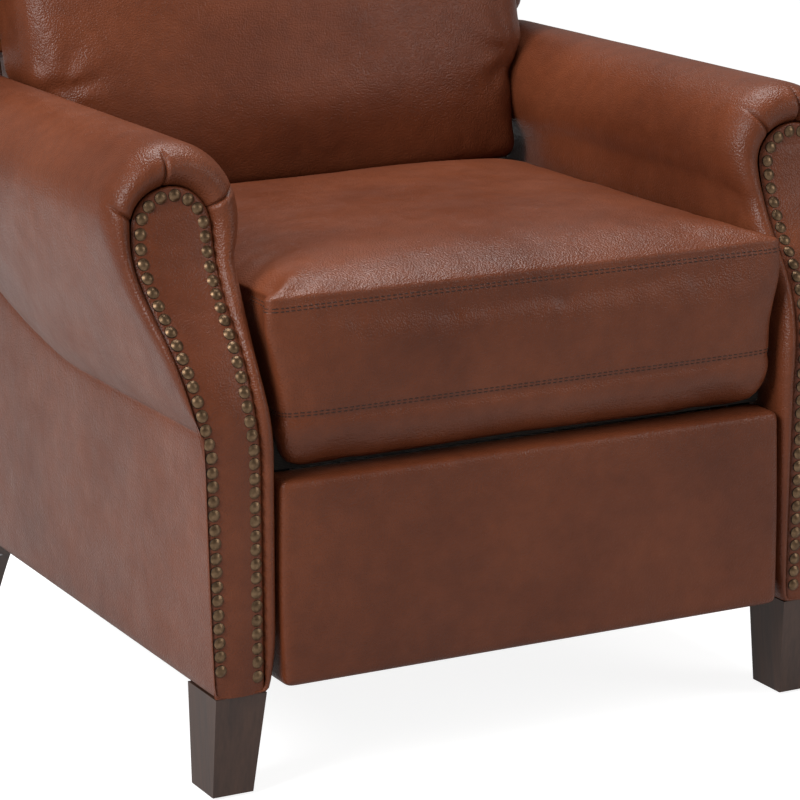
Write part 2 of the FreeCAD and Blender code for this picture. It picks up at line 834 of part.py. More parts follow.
def seat_spring(x):
    """A flat wire that winds from the front rail to the rear rail, with its two clips."""
    wire_radius = float(size.spring_wire) / 2
    bend = float(size.spring_bend)
    half = float(size.spring_half_wide)
    z = float(size.plate_top_z) + wire_radius
    inset = float(size.clip_deep) / 2
    start = FRONT + float(size.seat_front_rail_y) + inset
    end = FRONT + float(size.seat_rear_rail_y + size.seat_rail_deep) - inset
    turns = int((end - start) / (2 * bend))
    bend = (end - start) / (2 * turns)
    edges = []
    y = start
    toward = 1
    edges.append(line(Vector(x - half, y, z), Vector(x + half, y, z)))
    for turn in range(turns):
        near = Vector(x + toward * half, y, z)
        far = Vector(x + toward * half, y + 2 * bend, z)
        tip = Vector(x + toward * (half + bend), y + bend, z)
        corner = bend * math.sqrt(0.5)
        edges.append(arc(near, Vector(near.x + toward * corner, y + bend - corner, z), tip))
        edges.append(arc(tip, Vector(near.x + toward * corner, y + bend + corner, z), far))
        y += 2 * bend
        edges.append(line(far, Vector(x - toward * half, y, z)))
        toward = -toward
    path = Part.Wire(edges)
    ring = Part.Wire(Part.makeCircle(wire_radius, Vector(x - half, start, z), Vector(1, 0, 0)))
    spring = path.makePipeShell([ring], True, False)
    wide, deep, thick = float(size.clip_wide), float(size.clip_deep), float(size.clip_thick)
    clips = [Part.makeBox(wide, deep, thick, Vector(x - wide / 2, where - deep / 2,
                                                    z + wire_radius))
             for where in (start, end)]
    return [spring] + clips


springs = []
count = int(float(size.spring_count))
for number in range(count):
    middle = (number - (count - 1) / 2) * float(size.spring_pitch)
    springs += seat_spring(middle)
named(feature("seat_springs", Part.makeCompound(springs)), "seat_springs")

deck_front = size.seat_front_rail_y + size.seat_rail_deep + size.face_gap
deck_z = size.plate_top_z + size.spring_wire
named(box("seat_deck", -rail_x, size.front_y + deck_front, deck_z, rail_x * 2,
          size.seat_rear_rail_y - deck_front - size.face_gap, size.deck_thick), "seat_deck")


def seat_cushion():
    """A crowned cushion whose front hangs over the front rail."""
    half = float(size.seat_half)
    front = FRONT - float(size.seat_front)
    rear = FRONT + float(size.seat_rear_y)
    low = float(size.seat_low_z)
    seam = float(size.seat_seam_z)
    crown = float(size.seat_crown)
    side_swell = float(size.side_swell)
    long = rear - front
    rings = []
    for along, narrow, lift, drop, swell in (
            (0.0, 0.022, 0.66, -0.3, 0.25), (0.04, 0.006, 0.16, 0.03, 0.45),
            (0.08, 0.002, 0.0, 0.12, 0.6), (0.25, 0.002, 0.0, 0.18, 0.85),
            (0.5, 0.004, 0.0, 0.16, 1.0), (0.75, 0.004, 0.0, 0.02, 0.85),
            (0.9, 0.006, 0.1, -0.25, 0.6), (1.0, 0.026, 0.5, -0.7, 0.35)):
        y = front + along * long
        wide = half * (1 - narrow)
        base = low + lift * crown
        top = seam + drop * crown
        rings.append(pillow_ring(
            [Vector(-wide, y, base), Vector(wide, y, base),
             Vector(wide, y, top), Vector(-wide, y, top)],
            [0, side_swell, swell * crown, side_swell]))
    body = loft(rings)
    floor = float(deck_z + size.deck_thick + size.soft_gap)
    lip = front + float(size.seat_lip_deep)
    room = Part.makeBox(4 * half, long, floor - low + crown,
                        Vector(-2 * half, lip, low - crown))
    return body.cut(room).Solids[0]


named(feature("seat_cushion", seat_cushion()), "seat_cushion")


# Back frame, leaning about its foot

def back_place(up, behind):
    """A place on the leaning back: up along it and behind its front face."""
    lean = size.back_rake
    y = size.front_y + size.back_foot_y + up * sine(lean) + behind * cosine(lean)
    z = size.back_foot_z + up * cosine(lean) - behind * sine(lean)
    return y, z


def back_box(name, x, wide, up, tall, behind, deep):
    y, z = back_place(as_size(up), as_size(behind))
    return box(name, x, y, z, wide, deep, tall, rake=size.back_rake)


stile_long = size.back_long - size.top_rail_drop
for side in SIDES:
    x = -size.stile_outer_x if side == "left" else size.stile_outer_x - size.stile_wide
    label = side + "_back_stile"
    named(back_box(label, x, size.stile_wide, 0, stile_long, 0, size.stile_deep), label)
inner_half = size.stile_outer_x - size.stile_wide
named(back_box("back_bottom_rail", -inner_half, inner_half * 2, size.bottom_rail_lift,
               size.cross_rail_tall, 0, size.stile_deep), "back_bottom_rail")
wing_half = size.wing_inner_x - size.face_gap
named(back_box("back_mid_rail", -wing_half, wing_half * 2, size.mid_rail_lift,
               size.cross_rail_tall, size.stile_deep, size.cross_rail_deep), "back_mid_rail")
named(back_box("back_top_rail", -wing_half, wing_half * 2, stile_long - size.cross_rail_tall,
               size.cross_rail_tall, size.stile_deep, size.cross_rail_deep), "back_top_rail")
straps = []
for number in range(int(float(size.strap_count))):
    straps.append(back_box("back_strap", -size.stile_outer_x, size.stile_outer_x * 2,
                           size.strap_lift + size.strap_pitch * number, size.strap_tall,
                           -size.strap_thick, size.strap_thick))
named(group("back_straps", straps), "back_straps")

panel_behind = size.stile_deep + size.cross_rail_deep
low_panel = back_box("outside_back_low", -size.outside_back_half, size.outside_back_half * 2,
                     size.outside_back_lift, size.mid_rail_lift - size.outside_back_lift,
                     panel_behind, size.outside_back_thick)
high_panel = back_box("outside_back_high", -wing_half, wing_half * 2, size.mid_rail_lift,
                      size.back_long - size.mid_rail_lift, panel_behind,
                      size.outside_back_thick)
cap = back_box("outside_back_cap", -wing_half, wing_half * 2, stile_long,
               size.top_rail_drop, -size.strap_thick, panel_behind + size.strap_thick * 2)
named(fuse("outside_back", [low_panel, high_panel, cap]), "outside_back")

pivot = (size.back_pivot_y, size.back_pivot_z)
half = size.bracket_half
bracket_outline = [
    (size.back_foot_y + half, size.back_foot_z + half),
    (size.back_foot_y + half * 2, size.back_foot_z + size.bracket_tall),
    (size.back_foot_y + half * 3, size.back_foot_z + size.bracket_tall),
    (size.back_pivot_y - half, size.back_pivot_z + half * 2),
    (size.back_pivot_y + half, size.back_pivot_z + half / 2),
    (size.back_pivot_y + half, size.back_pivot_z - half),
    (size.back_pivot_y - half, size.back_pivot_z - half)]
for side in SIDES:
    x = -size.stile_outer_x - size.bracket_thick if side == "left" else size.stile_outer_x
    label = side + "_back_bracket"
    named(plate(label, x, size.bracket_thick, bracket_outline,
                [pivot + (size.back_pin_radius + size.running_gap,)]), label)


# Back cushion, wider above the arms

def back_front(height):
    """The front of the back frame at a height, counted along Y."""
    slope = math.tan(math.radians(float(size.back_rake)))
    return FRONT + float(size.back_foot_y) + (height - float(size.back_foot_z)) * slope


def back_rings(rows):
    rake = math.cos(math.radians(float(size.back_rake)))
    clear = (float(size.strap_thick) + float(size.soft_gap)) / rake
    side_swell = float(size.side_swell)
    rings = []
    for height, wide, thick, crown in rows:
        rear = back_front(height) - clear
        front = back_front(height) - thick
        rings.append(pillow_ring(
            [Vector(-wide, rear, height), Vector(wide, rear, height),
             Vector(wide, front, height), Vector(-wide, front, height)],
            [0, side_swell, crown, side_swell]))
    return rings


def back_cushion():
    low, high = float(size.cushion_low_half), float(size.cushion_high_half)
    foot, top = float(size.cushion_foot_z), float(size.cushion_top_z)
    notch = ROLL_TOP + float(size.over_arm_gap)
    thick, crown = float(size.lumbar_thick), float(size.lumbar_crown)
    head_thick, head_crown = float(size.head_thick), float(size.head_crown)
    tall = top - notch
    overlap = float(size.notch_overlap)
    lower = back_rings([
        (foot, low * 0.98, thick * 0.88, crown * 0.66),
        (foot + (notch + overlap - foot) / 3, low, thick * 0.98, crown * 0.96),
        (foot + (notch + overlap - foot) * 2 / 3, low, thick, crown),
        (notch + overlap, low, thick, crown * 0.9)])
    upper = back_rings([
        (notch, high * 0.985, thick * 0.985, crown * 0.94),
        (notch + 0.25 * tall, high, head_thick * 1.12, head_crown * 1.2),
        (notch + 0.5 * tall, high, head_thick * 1.04, head_crown * 1.08),
        (notch + 0.75 * tall, high * 0.992, head_thick * 0.96, head_crown * 0.95),
        (top, high * 0.94, head_thick * 0.62, head_crown * 0.35)])
    return loft(lower).fuse(loft(upper)).Solids[0]


named(feature("back_cushion", back_cushion()), "back_cushion")


# Wings

def wing():
    """A padded ear beside the head: it starts over the arm and reaches forward."""
    x = float(size.wing_inner_x)
    wide = float(size.wing_thick)
    foot = ROLL_TOP + float(size.over_arm_gap)
    reach_y, reach_z = FRONT + float(size.wing_reach_y), float(size.wing_reach_z)
    shoulder = Vector(x, FRONT + float(size.wing_shoulder_y), float(size.wing_shoulder_z))
    top = float(size.wing_top_z)
    deep = float(panel_behind + size.outside_back_thick) / math.cos(
        math.radians(float(size.back_rake)))
    front_foot = Vector(x, FRONT + float(size.wing_foot_y), foot)
    rear_foot = Vector(x, back_front(foot) + deep, foot)
    rear_top = Vector(x, back_front(top) + deep - float(size.wing_round), top)
    reach = Vector(x, reach_y, reach_z)
    bend = Vector(0, -float(size.wing_bend), 0)
    low_bend = (front_foot + reach) * 0.5 + bend
    high_bend = (reach + shoulder) * 0.5 + bend * 2 + Vector(0, 0, float(size.wing_bend))
    crest = Vector(x, (shoulder.y + rear_top.y) / 2, top + float(size.wing_round) / 2)
    outline = Part.Wire([
        line(rear_foot, front_foot),
        arc(front_foot, low_bend, reach),
        arc(reach, high_bend, shoulder),
        arc(shoulder, crest, rear_top),
        line(rear_top, rear_foot)])
    centre = outline.CenterOfMass
    inset = float(size.wing_round)
    shrink = 1 - inset * 2 / (top - foot)
    rings = []
    for out, scale in ((0, shrink), (inset, 1), (wide - inset, 1), (wide, shrink)):
        ring = outline.copy()
        ring.scale(scale, centre)
        ring.translate(Vector(out, 0, 0))
        rings.append(ring)
    return Part.makeLoft(rings, True, True)


for side in SIDES:
    named(feature(side + "_wing", sided(side, wing())), side + "_wing")


# Footrest

rest_back = size.rest_pad_thick + size.rest_board_thick - size.rest_front
board_half = size.rest_top_half - size.rest_board_inset
named(box("footrest_board", -board_half, size.front_y + size.rest_pad_thick - size.rest_front,
          size.rest_low_z + size.rest_board_inset, board_half * 2, size.rest_board_thick,
          size.rest_top_z - size.rest_low_z - size.rest_board_inset * 2), "footrest_board")


def footrest_pad():
    """The padded leather panel, a little wider at its foot, with a pocket for its board."""
    low, top = float(size.rest_low_z), float(size.rest_top_z)
    low_half, top_half = float(size.rest_low_half), float(size.rest_top_half)
    front = FRONT - float(size.rest_front)
    deep = float(size.rest_pad_thick + size.rest_board_thick)
    rim = float(size.rest_rim)
    rings = []
    for along, share in ((0.0, 1.0), (0.1, 0.25), (0.3, 0.0), (0.8, 0.0), (1.0, 0.6)):
        y = front + along * deep
        inset = share * rim
        rings.append(pillow_ring(
            [Vector(-low_half + inset, y, low + inset), Vector(low_half - inset, y, low + inset),
             Vector(top_half - inset, y, top - inset), Vector(-top_half + inset, y, top - inset)],
            [0, 0, 0, 0]))
    wrap = loft(rings)
    inset = float(size.rest_board_inset)
    half = top_half - inset
    pocket = Part.makeBox(2 * half, deep, top - low - 2 * inset,
                          Vector(-half, front + float(size.rest_pad_thick), low + inset))
    return wrap.cut(pocket).Solids[0]


named(feature("footrest_pad", footrest_pad()), "footrest_pad")

# Pivots of the linkage when the footrest is closed, along Y and Z from the arm front

def along(place_from, angle, length):
    y, z = place_from
    return y + length * cosine(angle), z + length * sine(angle)


lift = (size.lift_y, size.lift_z)
crossing = along(lift, size.rear_angle, size.rear_to_cross)
rear_end = along(crossing, size.rear_angle, size.cross_to_end)
cross_head = along(crossing, size.cross_angle, size.cross_to_head)
front_crossing = along(rear_end, size.cross_angle, size.cross_to_head)
front_head = along(front_crossing, size.cross_angle, size.head_to_head)
carrier_end = along(front_crossing, size.rear_angle, size.carrier_to_end)
brace_end = along(front_head, size.rear_angle, size.carrier_to_end)
drive = (size.drive_y, size.drive_z)
drive_pin = along(crossing, size.cross_angle, -size.drive_tail)

link_outer = size.plate_outer_x - size.plate_thick - size.link_gap
cross_outer = link_outer - size.link_thick - size.link_gap
drive_outer = cross_outer - size.link_thick - size.drive_gap
tight = size.rivet_radius
loose = size.rivet_radius + size.running_gap
zero = as_size(0)


def pair_of_links(name, outer, at, angle, start, end, holes):
    for side in SIDES:
        x = -outer if side == "left" else outer - size.link_thick
        label = "%s_%s" % (side, name)
        named(link(label, x, size.front_y + at[0], at[1], angle, start, end, holes), label)


pair_of_links("rear_link", link_outer, lift, size.rear_angle, zero,
              size.rear_to_cross + size.cross_to_end,
              [(zero, loose), (size.rear_to_cross, tight),
               (size.rear_to_cross + size.cross_to_end, tight)])
pair_of_links("cross_link", cross_outer, crossing, size.cross_angle, -size.drive_tail,
              size.cross_to_head,
              [(-size.drive_tail, tight), (zero, loose), (size.cross_to_head, tight)])
pair_of_links("front_link", cross_outer, rear_end, size.cross_angle, zero,
              size.cross_to_head + size.head_to_head,
              [(zero, loose), (size.cross_to_head, tight),
               (size.cross_to_head + size.head_to_head, tight)])
pair_of_links("carrier_link", link_outer, cross_head, size.rear_angle, zero,
              size.cross_to_end + size.carrier_to_end,
              [(zero, loose), (size.cross_to_end, loose + size.face_gap),
               (size.cross_to_end + size.carrier_to_end, loose)])
pair_of_links("brace_link", cross_outer, carrier_end, size.cross_angle, zero,
              size.head_to_head, [(zero, tight), (size.head_to_head, tight)])
pair_of_links("drive_link", drive_outer, drive, size.drive_angle, zero, size.drive_long,
              [(zero, loose), (size.drive_long, size.rivet_radius + size.drive_play)])

for side in SIDES:
    web_x = -link_outer if side == "left" else link_outer - size.rest_bracket_thick
    flange_x = -link_outer if side == "left" else link_outer - size.rest_flange_wide
    low_z = brace_end[1] - size.link_wide / 2
    tall = front_head[1] - brace_end[1] + size.link_wide
    web = box(side + "_rest_web", web_x, size.front_y + rest_back, low_z,
              size.rest_bracket_thick, front_head[0] + size.link_wide / 2 - rest_back, tall)
    flange = box(side + "_rest_flange", flange_x, size.front_y + rest_back, low_z,
                 size.rest_flange_wide, size.rest_bracket_thick, tall)
    bores = [rod(side + "_rest_bore", web_x - size.link_gap, size.front_y + spot[0], spot[1],
                 reach, size.rest_bracket_thick + size.link_gap * 2)
             for spot, reach in ((front_head, loose), (brace_end, loose + size.face_gap))]
    label = side + "_footrest_bracket"
    named(cut(label, fuse(side + "_rest_angle", [web, flange]),
              fuse(side + "_rest_bores", bores)), label)

named(rod("torque_tube", -(link_outer - size.link_thick), size.front_y + lift[0], lift[1],
          size.tube_radius, (link_outer - size.link_thick) * 2), "torque_tube")


def rivets(label, rows):
    """Rivets through the linkage: each runs from one face along X to another."""
    rods = []
    for side in SIDES:
        for spot, outer, inner, radius in rows:
            x = -outer if side == "left" else inner
            rods.append(rod(label + "_rivet", x, size.front_y + spot[0], spot[1], radius,
                            outer - inner))
    named(group(label, rods), label)


cross_inner = cross_outer - size.link_thick
rivets("seat_pivot_pins", [
    (lift, size.plate_outer_x, link_outer - size.link_thick + size.face_gap, size.rivet_radius),
    (drive, size.plate_outer_x, drive_outer - size.link_thick, size.rivet_radius),
    (pivot, size.plate_outer_x, size.stile_outer_x, size.back_pin_radius)])
rivets("rear_link_rivets", [
    (crossing, link_outer, cross_inner, size.rivet_radius),
    (rear_end, link_outer, cross_inner, size.rivet_radius)])
rivets("cross_link_rivets", [
    (cross_head, link_outer, cross_inner, size.rivet_radius),
    (drive_pin, cross_outer, drive_outer - size.link_thick, size.rivet_radius)])
rivets("front_link_rivets", [
    (front_crossing, link_outer, cross_inner, size.rivet_radius),
    (front_head, link_outer, cross_inner, size.rivet_radius)])
rivets("brace_link_rivets", [
    (carrier_end, link_outer, cross_inner, size.rivet_radius),
    (brace_end, link_outer, cross_inner, size.rivet_radius)])

doc.recompute()

# Every object is sound before anything is written
for item in doc.Objects:
    if "Invalid" in item.State or "Error" in item.State:
        raise RuntimeError("%s failed: %s" % (item.Name, item.State))
for item in nodes:
    if item.Shape.isNull() or not item.Shape.isValid() or not item.Shape.Solids:
        raise RuntimeError("%s has no sound shape" % item.Label)

os.makedirs("parts", exist_ok=True)
whole = FreeCAD.BoundBox()
for item in nodes:
    item.Shape.exportStep("parts/%s.step" % item.Label)
    whole.add(item.Shape.BoundBox)
    print(item.Label, len(item.Shape.Solids), "solids", round(item.Shape.Volume))
print(len(nodes), "sub-parts, from", whole)
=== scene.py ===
import json
import math
import bmesh
import bpy
import numpy as np
from mathutils import Matrix, Vector, noise
from mathutils.bvhtree import BVHTree

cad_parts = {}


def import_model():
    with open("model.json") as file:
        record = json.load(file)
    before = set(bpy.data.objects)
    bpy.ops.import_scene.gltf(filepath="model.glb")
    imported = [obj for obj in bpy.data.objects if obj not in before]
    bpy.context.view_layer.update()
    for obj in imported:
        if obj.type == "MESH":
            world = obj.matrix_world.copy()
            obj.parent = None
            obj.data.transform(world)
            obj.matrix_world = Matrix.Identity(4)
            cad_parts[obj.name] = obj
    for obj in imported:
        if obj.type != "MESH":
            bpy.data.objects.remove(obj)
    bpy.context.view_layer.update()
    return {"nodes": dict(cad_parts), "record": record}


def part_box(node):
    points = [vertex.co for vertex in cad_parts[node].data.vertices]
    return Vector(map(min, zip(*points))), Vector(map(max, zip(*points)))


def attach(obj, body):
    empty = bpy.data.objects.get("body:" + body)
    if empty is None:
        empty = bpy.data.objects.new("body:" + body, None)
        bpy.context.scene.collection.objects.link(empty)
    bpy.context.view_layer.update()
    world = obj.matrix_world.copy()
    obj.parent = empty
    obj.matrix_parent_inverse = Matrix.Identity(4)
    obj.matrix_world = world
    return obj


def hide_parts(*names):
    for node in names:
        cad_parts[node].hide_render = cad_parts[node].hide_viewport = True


# A wingback recliner in brown leather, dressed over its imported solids.
# Shapes are drawn in millimetres, with Y counted from the front of the arms.

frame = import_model()

STRETCHER_DEPTH = 172.0
FRONT_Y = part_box("front_stretcher")[0][1] * 1000 - STRETCHER_DEPTH


# Camera

CAMERA_DEGREES = (26.462, 13.91, -0.939)
EYE = (-1505.9, -2744.3, 1121.7)
FOCAL_PIXELS = 3446.5
FRAME_PIXELS = 800
SENSOR = 36.0


def place_camera():
    """The view of the photograph: from the left, a little above the seat."""
    azimuth, elevation, roll = (math.radians(angle) for angle in CAMERA_DEGREES)
    forward = Vector((math.sin(azimuth) * math.cos(elevation),
                      math.cos(azimuth) * math.cos(elevation), -math.sin(elevation)))
    right = Vector((math.cos(azimuth), -math.sin(azimuth), 0))
    up = right.cross(forward)
    across = right * math.cos(roll) + up * math.sin(roll)
    above = up * math.cos(roll) - right * math.sin(roll)
    data = bpy.data.cameras.new("camera")
    data.sensor_width = SENSOR
    data.lens = FOCAL_PIXELS / FRAME_PIXELS * SENSOR
    data.clip_end = 60.0
    camera = bpy.data.objects.new("camera", data)
    bpy.context.scene.collection.objects.link(camera)
    turn = Matrix((across, above, -forward)).transposed().to_4x4()
    spot = Vector((EYE[0], EYE[1] + FRONT_Y, EYE[2])) / 1000
    camera.matrix_world = Matrix.Translation(spot) @ turn
    bpy.context.scene.camera = camera


place_camera()


# Materials

class Nodes:
    """Short names for building a node material."""

    def __init__(self, name):
        self.material = bpy.data.materials.new(name)
        self.material.use_nodes = True
        self.tree = self.material.node_tree
        self.tree.nodes.clear()
        self.shader = self.add("ShaderNodeBsdfPrincipled")
        output = self.add("ShaderNodeOutputMaterial")
        self.join(self.shader.outputs[0], output.inputs["Surface"])
        self.place = self.add("ShaderNodeTexCoord").outputs["Object"]

    def add(self, kind, **values):
        node = self.tree.nodes.new(kind)
        for key, value in values.items():
            setattr(node, key, value)
        return node

    def join(self, start, end):
        self.tree.links.new(start, end)

    def noise(self, scale, detail=3.0, rough=0.55, stretch=None):
        node = self.add("ShaderNodeTexNoise")
        node.inputs["Scale"].default_value = scale
        node.inputs["Detail"].default_value = detail
        node.inputs["Roughness"].default_value = rough
        self.join(self.mapped(stretch), node.inputs["Vector"])
        return node.outputs["Fac"]

    def mapped(self, stretch):
        if not stretch:
            return self.place
        node = self.add("ShaderNodeMapping")
        node.inputs["Scale"].default_value = stretch
        self.join(self.place, node.inputs["Vector"])
        return node.outputs["Vector"]

    def cells(self, scale, start):
        """Distance from the middle of soft round cells."""
        node = self.add("ShaderNodeTexVoronoi", feature="SMOOTH_F1")
        node.inputs["Scale"].default_value = scale
        self.join(start, node.inputs["Vector"])
        return node.outputs["Distance"]

    def ramp(self, value, stops):
        """Colours by value; a stop is its place and its colour."""
        node = self.add("ShaderNodeValToRGB")
        elements = node.color_ramp.elements
        while len(elements) < len(stops):
            elements.new(0.5)
        for element, (spot, colour) in zip(elements, stops):
            element.position = spot
            element.color = (*colour, 1.0)
        self.join(value, node.inputs["Fac"])
        return node.outputs["Color"]

    def span(self, value, low, high, start=0.0, end=1.0):
        node = self.add("ShaderNodeMapRange")
        for key, number in zip(("From Min", "From Max", "To Min", "To Max"),
                               (start, end, low, high)):
            node.inputs[key].default_value = number
        self.join(value, node.inputs["Value"])
        return node.outputs["Result"]

    def tinted(self, share, one, two):
        """The first colour multiplied by a share of the second."""
        node = self.add("ShaderNodeMix", data_type="RGBA", blend_type="MULTIPLY")
        node.inputs[0].default_value = share
        self.join(one, node.inputs[6])
        self.join(two, node.inputs[7])
        return node.outputs[2]

    def sum(self, one, two, kind="ADD"):
        """One or two values joined by plain arithmetic; either may be a number."""
        node = self.add("ShaderNodeMath", operation=kind)
        for key, value in enumerate((one, two)):
            if isinstance(value, (int, float)):
                node.inputs[key].default_value = value
            else:
                self.join(value, node.inputs[key])
        return node.outputs[0]

    def bump(self, height, depth, strength=1.0, under=None):
        node = self.add("ShaderNodeBump")
        node.inputs["Distance"].default_value = depth
        node.inputs["Strength"].default_value = strength
        self.join(height, node.inputs["Height"])
        if under:
            self.join(under, node.inputs["Normal"])
        return node.outputs["Normal"]

    def finish(self, colour, rough, normal=None, **values):
        for socket, value in (("Base Color", colour), ("Roughness", rough), ("Normal", normal)):
            if value is None:
                continue
            if isinstance(value, float):
                self.shader.inputs[socket].default_value = value
            else:
                self.join(value, self.shader.inputs[socket])
        for key, value in values.items():
            self.shader.inputs[key.replace("_", " ")].default_value = value
        return self.material


def leather(name):
    """Semi-gloss brown leather with a fine pebble grain and cloudy dye."""
    nodes = Nodes(name)
    cloud = nodes.noise(5.0, 4.0, 0.6)
    dye = nodes.ramp(cloud, [(0.30, (0.105, 0.0265, 0.0105)),
                             (0.52, (0.145, 0.0385, 0.0155)),
                             (0.72, (0.180, 0.0500, 0.0205))])
    fine = nodes.ramp(nodes.noise(70.0, 3.0),
                      [(0.35, (0.80, 0.80, 0.80)), (0.65, (1.0, 1.0, 1.0))])
    shift = nodes.noise(180.0, 2.0)
    warped = nodes.add("ShaderNodeVectorMath", operation="MULTIPLY_ADD")
    nodes.join(shift, warped.inputs[0])
    warped.inputs[1].default_value = (0.0012, 0.0012, 0.0012)
    nodes.join(nodes.place, warped.inputs[2])
    pebble = nodes.cells(620.0, warped.outputs[0])
    grain = nodes.bump(nodes.sum(1.0, pebble, "SUBTRACT"), 0.0007, 0.8)
    creased = nodes.bump(nodes.noise(38.0, 4.0, 0.6), 0.0016, 0.35, grain)
    rough = nodes.span(nodes.noise(22.0, 3.0), 0.30, 0.42, 0.3, 0.7)
    return nodes.finish(nodes.tinted(0.6, dye, fine), rough, creased, Specular_IOR_Level=0.24)


def wood(name, dark, light, gloss, along="Z"):
    """Wood grain that runs along one axis."""
    nodes = Nodes(name)
    stretch = {"X": (0.06, 1.0, 1.0), "Z": (1.0, 1.0, 0.06)}[along]
    fibres = nodes.noise(260.0, 6.0, 0.65, stretch)
    rings = nodes.noise(38.0, 3.0, 0.5, stretch)
    tone = nodes.sum(nodes.sum(fibres, 0.45, "MULTIPLY"), nodes.sum(rings, 0.55, "MULTIPLY"))
    colour = nodes.ramp(tone, [(0.36, dark), (0.62, light)])
    relief = nodes.bump(fibres, 0.0002, 0.5)
    return nodes.finish(colour, nodes.span(rings, gloss - 0.05, gloss + 0.08), relief)


def metal(name, dark, light, gloss, metallic=1.0, scale=1.0):
    """Metal or enamel with faint stains; scale sets their fineness."""
    nodes = Nodes(name)
    colour = nodes.ramp(nodes.noise(120.0 * scale, 4.0), [(0.38, dark), (0.62, light)])
    rough = nodes.span(nodes.noise(300.0 * scale, 3.0), gloss - 0.06, gloss + 0.1, 0.3, 0.7)
    relief = nodes.bump(nodes.noise(900.0, 2.0), 0.0001, 0.4)
    return nodes.finish(colour, rough, relief, Metallic=metallic)


def cloth(name, dark, light):
    """A plain weave, for webbing and thread."""
    nodes = Nodes(name)
    waves = []
    for stretch in ((1.0, 0.0, 0.0), (0.0, 0.6, 0.8)):
        wave = nodes.add("ShaderNodeTexWave", bands_direction="X")
        wave.inputs["Scale"].default_value = 260.0
        turned = nodes.add("ShaderNodeVectorMath", operation="DOT_PRODUCT")
        nodes.join(nodes.place, turned.inputs[0])
        turned.inputs[1].default_value = stretch
        spread = nodes.add("ShaderNodeCombineXYZ")
        nodes.join(turned.outputs["Value"], spread.inputs[0])
        nodes.join(spread.outputs[0], wave.inputs["Vector"])
        waves.append(wave.outputs["Fac"])
    weave = nodes.sum(waves[0], waves[1], "MULTIPLY")
    tone = nodes.sum(weave, nodes.noise(90.0), "MULTIPLY")
    colour = nodes.ramp(tone, [(0.05, dark), (0.5, light)])
    return nodes.finish(colour, nodes.span(weave, 0.95, 0.8), nodes.bump(weave, 0.0004, 0.6))


LEATHER = leather("brown_leather")
THREAD = cloth("sewing_thread", (0.028, 0.011, 0.006), (0.080, 0.032, 0.018))
LEG_WOOD = wood("espresso_wood", (0.030, 0.0130, 0.0080), (0.074, 0.0350, 0.0220), 0.45)
RAW_WOOD = wood("frame_wood", (0.36, 0.22, 0.11), (0.56, 0.38, 0.22), 0.65, "X")
POST_WOOD = wood("post_wood", (0.36, 0.22, 0.11), (0.56, 0.38, 0.22), 0.65)
BRASS = metal("antique_brass", (0.110, 0.066, 0.036), (0.190, 0.118, 0.066), 0.38, 0.9, 1.5)
# Dark band at the foot of each nail head: partly patina, partly painted shade where the head sinks
# into the leather.
BRASS_RIM_PATINA_AND_SHADE = metal("brass_rim_patina_and_shade", (0.02, 0.013, 0.009), (0.055, 0.037, 0.024), 0.5, 0.8, 4.0)
ENAMEL = metal("black_enamel", (0.016, 0.016, 0.018), (0.030, 0.030, 0.033), 0.42, 0.3)
ZINC = metal("zinc_steel", (0.42, 0.42, 0.43), (0.60, 0.60, 0.61), 0.32)
NYLON = metal("moulded_nylon", (0.020, 0.020, 0.020), (0.040, 0.040, 0.040), 0.55, 0.0)
WEBBING = cloth("webbing", (0.022, 0.020, 0.018), (0.075, 0.068, 0.060))


# Meshes

def piece(name, points, faces, body, material, nodes=(), fine=1):
    """A mesh from points in millimetres that rides on a body and stands for solids."""
    mesh = bpy.data.meshes.new(name)
    spots = (np.asarray(points, float) + (0.0, FRONT_Y, 0.0)) / 1000
    mesh.from_pydata(spots.tolist(), [], [tuple(face) for face in faces])
    work = bmesh.new()
    work.from_mesh(mesh)
    bmesh.ops.recalc_face_normals(work, faces=work.faces)
    for face in work.faces:
        face.smooth = True
    work.to_mesh(mesh)
    work.free()
    mesh.materials.append(material)
    item = bpy.data.objects.new(name, mesh)
    bpy.context.scene.collection.objects.link(item)
    if fine:
        item.modifiers.new("fine", "SUBSURF").levels = fine
        item.modifiers["fine"].render_levels = fine
    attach(item, body)
    if nodes:
        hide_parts(*nodes)
    return item


def net(rows, columns, closed=False):
    """Faces of a grid of points, with its rows closed into rings where asked."""
    faces = []
    for row in range(rows - 1):
        for column in range(columns if closed else columns - 1):
            after = (column + 1) % columns
            low = row * columns
            faces.append((low + column, low + after, low + columns + after, low + columns + column))
    return faces


def block(xs, ys, zs):
    """The skin of a block with the given grid lines: points, faces and grid places."""
    spots = {}
    faces = []
    counts = (len(xs), len(ys), len(zs))

    def at(axis, level, one, two):
        place = [0, 0, 0]
        place[axis] = level
        place[(axis + 1) % 3] = one
        place[(axis + 2) % 3] = two
        return spots.setdefault(tuple(place), len(spots))

    for axis in range(3):
        for level in (0, counts[axis] - 1):
            for one in range(counts[(axis + 1) % 3] - 1):
                for two in range(counts[(axis + 2) % 3] - 1):
                    faces.append((at(axis, level, one, two), at(axis, level, one + 1, two),
                                  at(axis, level, one + 1, two + 1), at(axis, level, one, two + 1)))
    places = np.array(list(spots))
    points = np.stack([np.asarray(xs)[places[:, 0]], np.asarray(ys)[places[:, 1]],
                       np.asarray(zs)[places[:, 2]]], 1).astype(float)
    return points, faces, places


def steps(low, high, count, ends=0.6):
    """Grid lines from low to high, closer together near both ends."""
    even = np.linspace(0, 1, count)
    drawn = 0.5 - 0.5 * np.cos(np.pi * even)
    return low + (high - low) * (even * (1 - ends) + drawn * ends)


def ease(value, start, end):
    """A smooth rise from 0 at the start to 1 at the end."""
    share = np.clip((np.asarray(value, float) - start) / (end - start), 0, 1)
    return share * share * (3 - 2 * share)


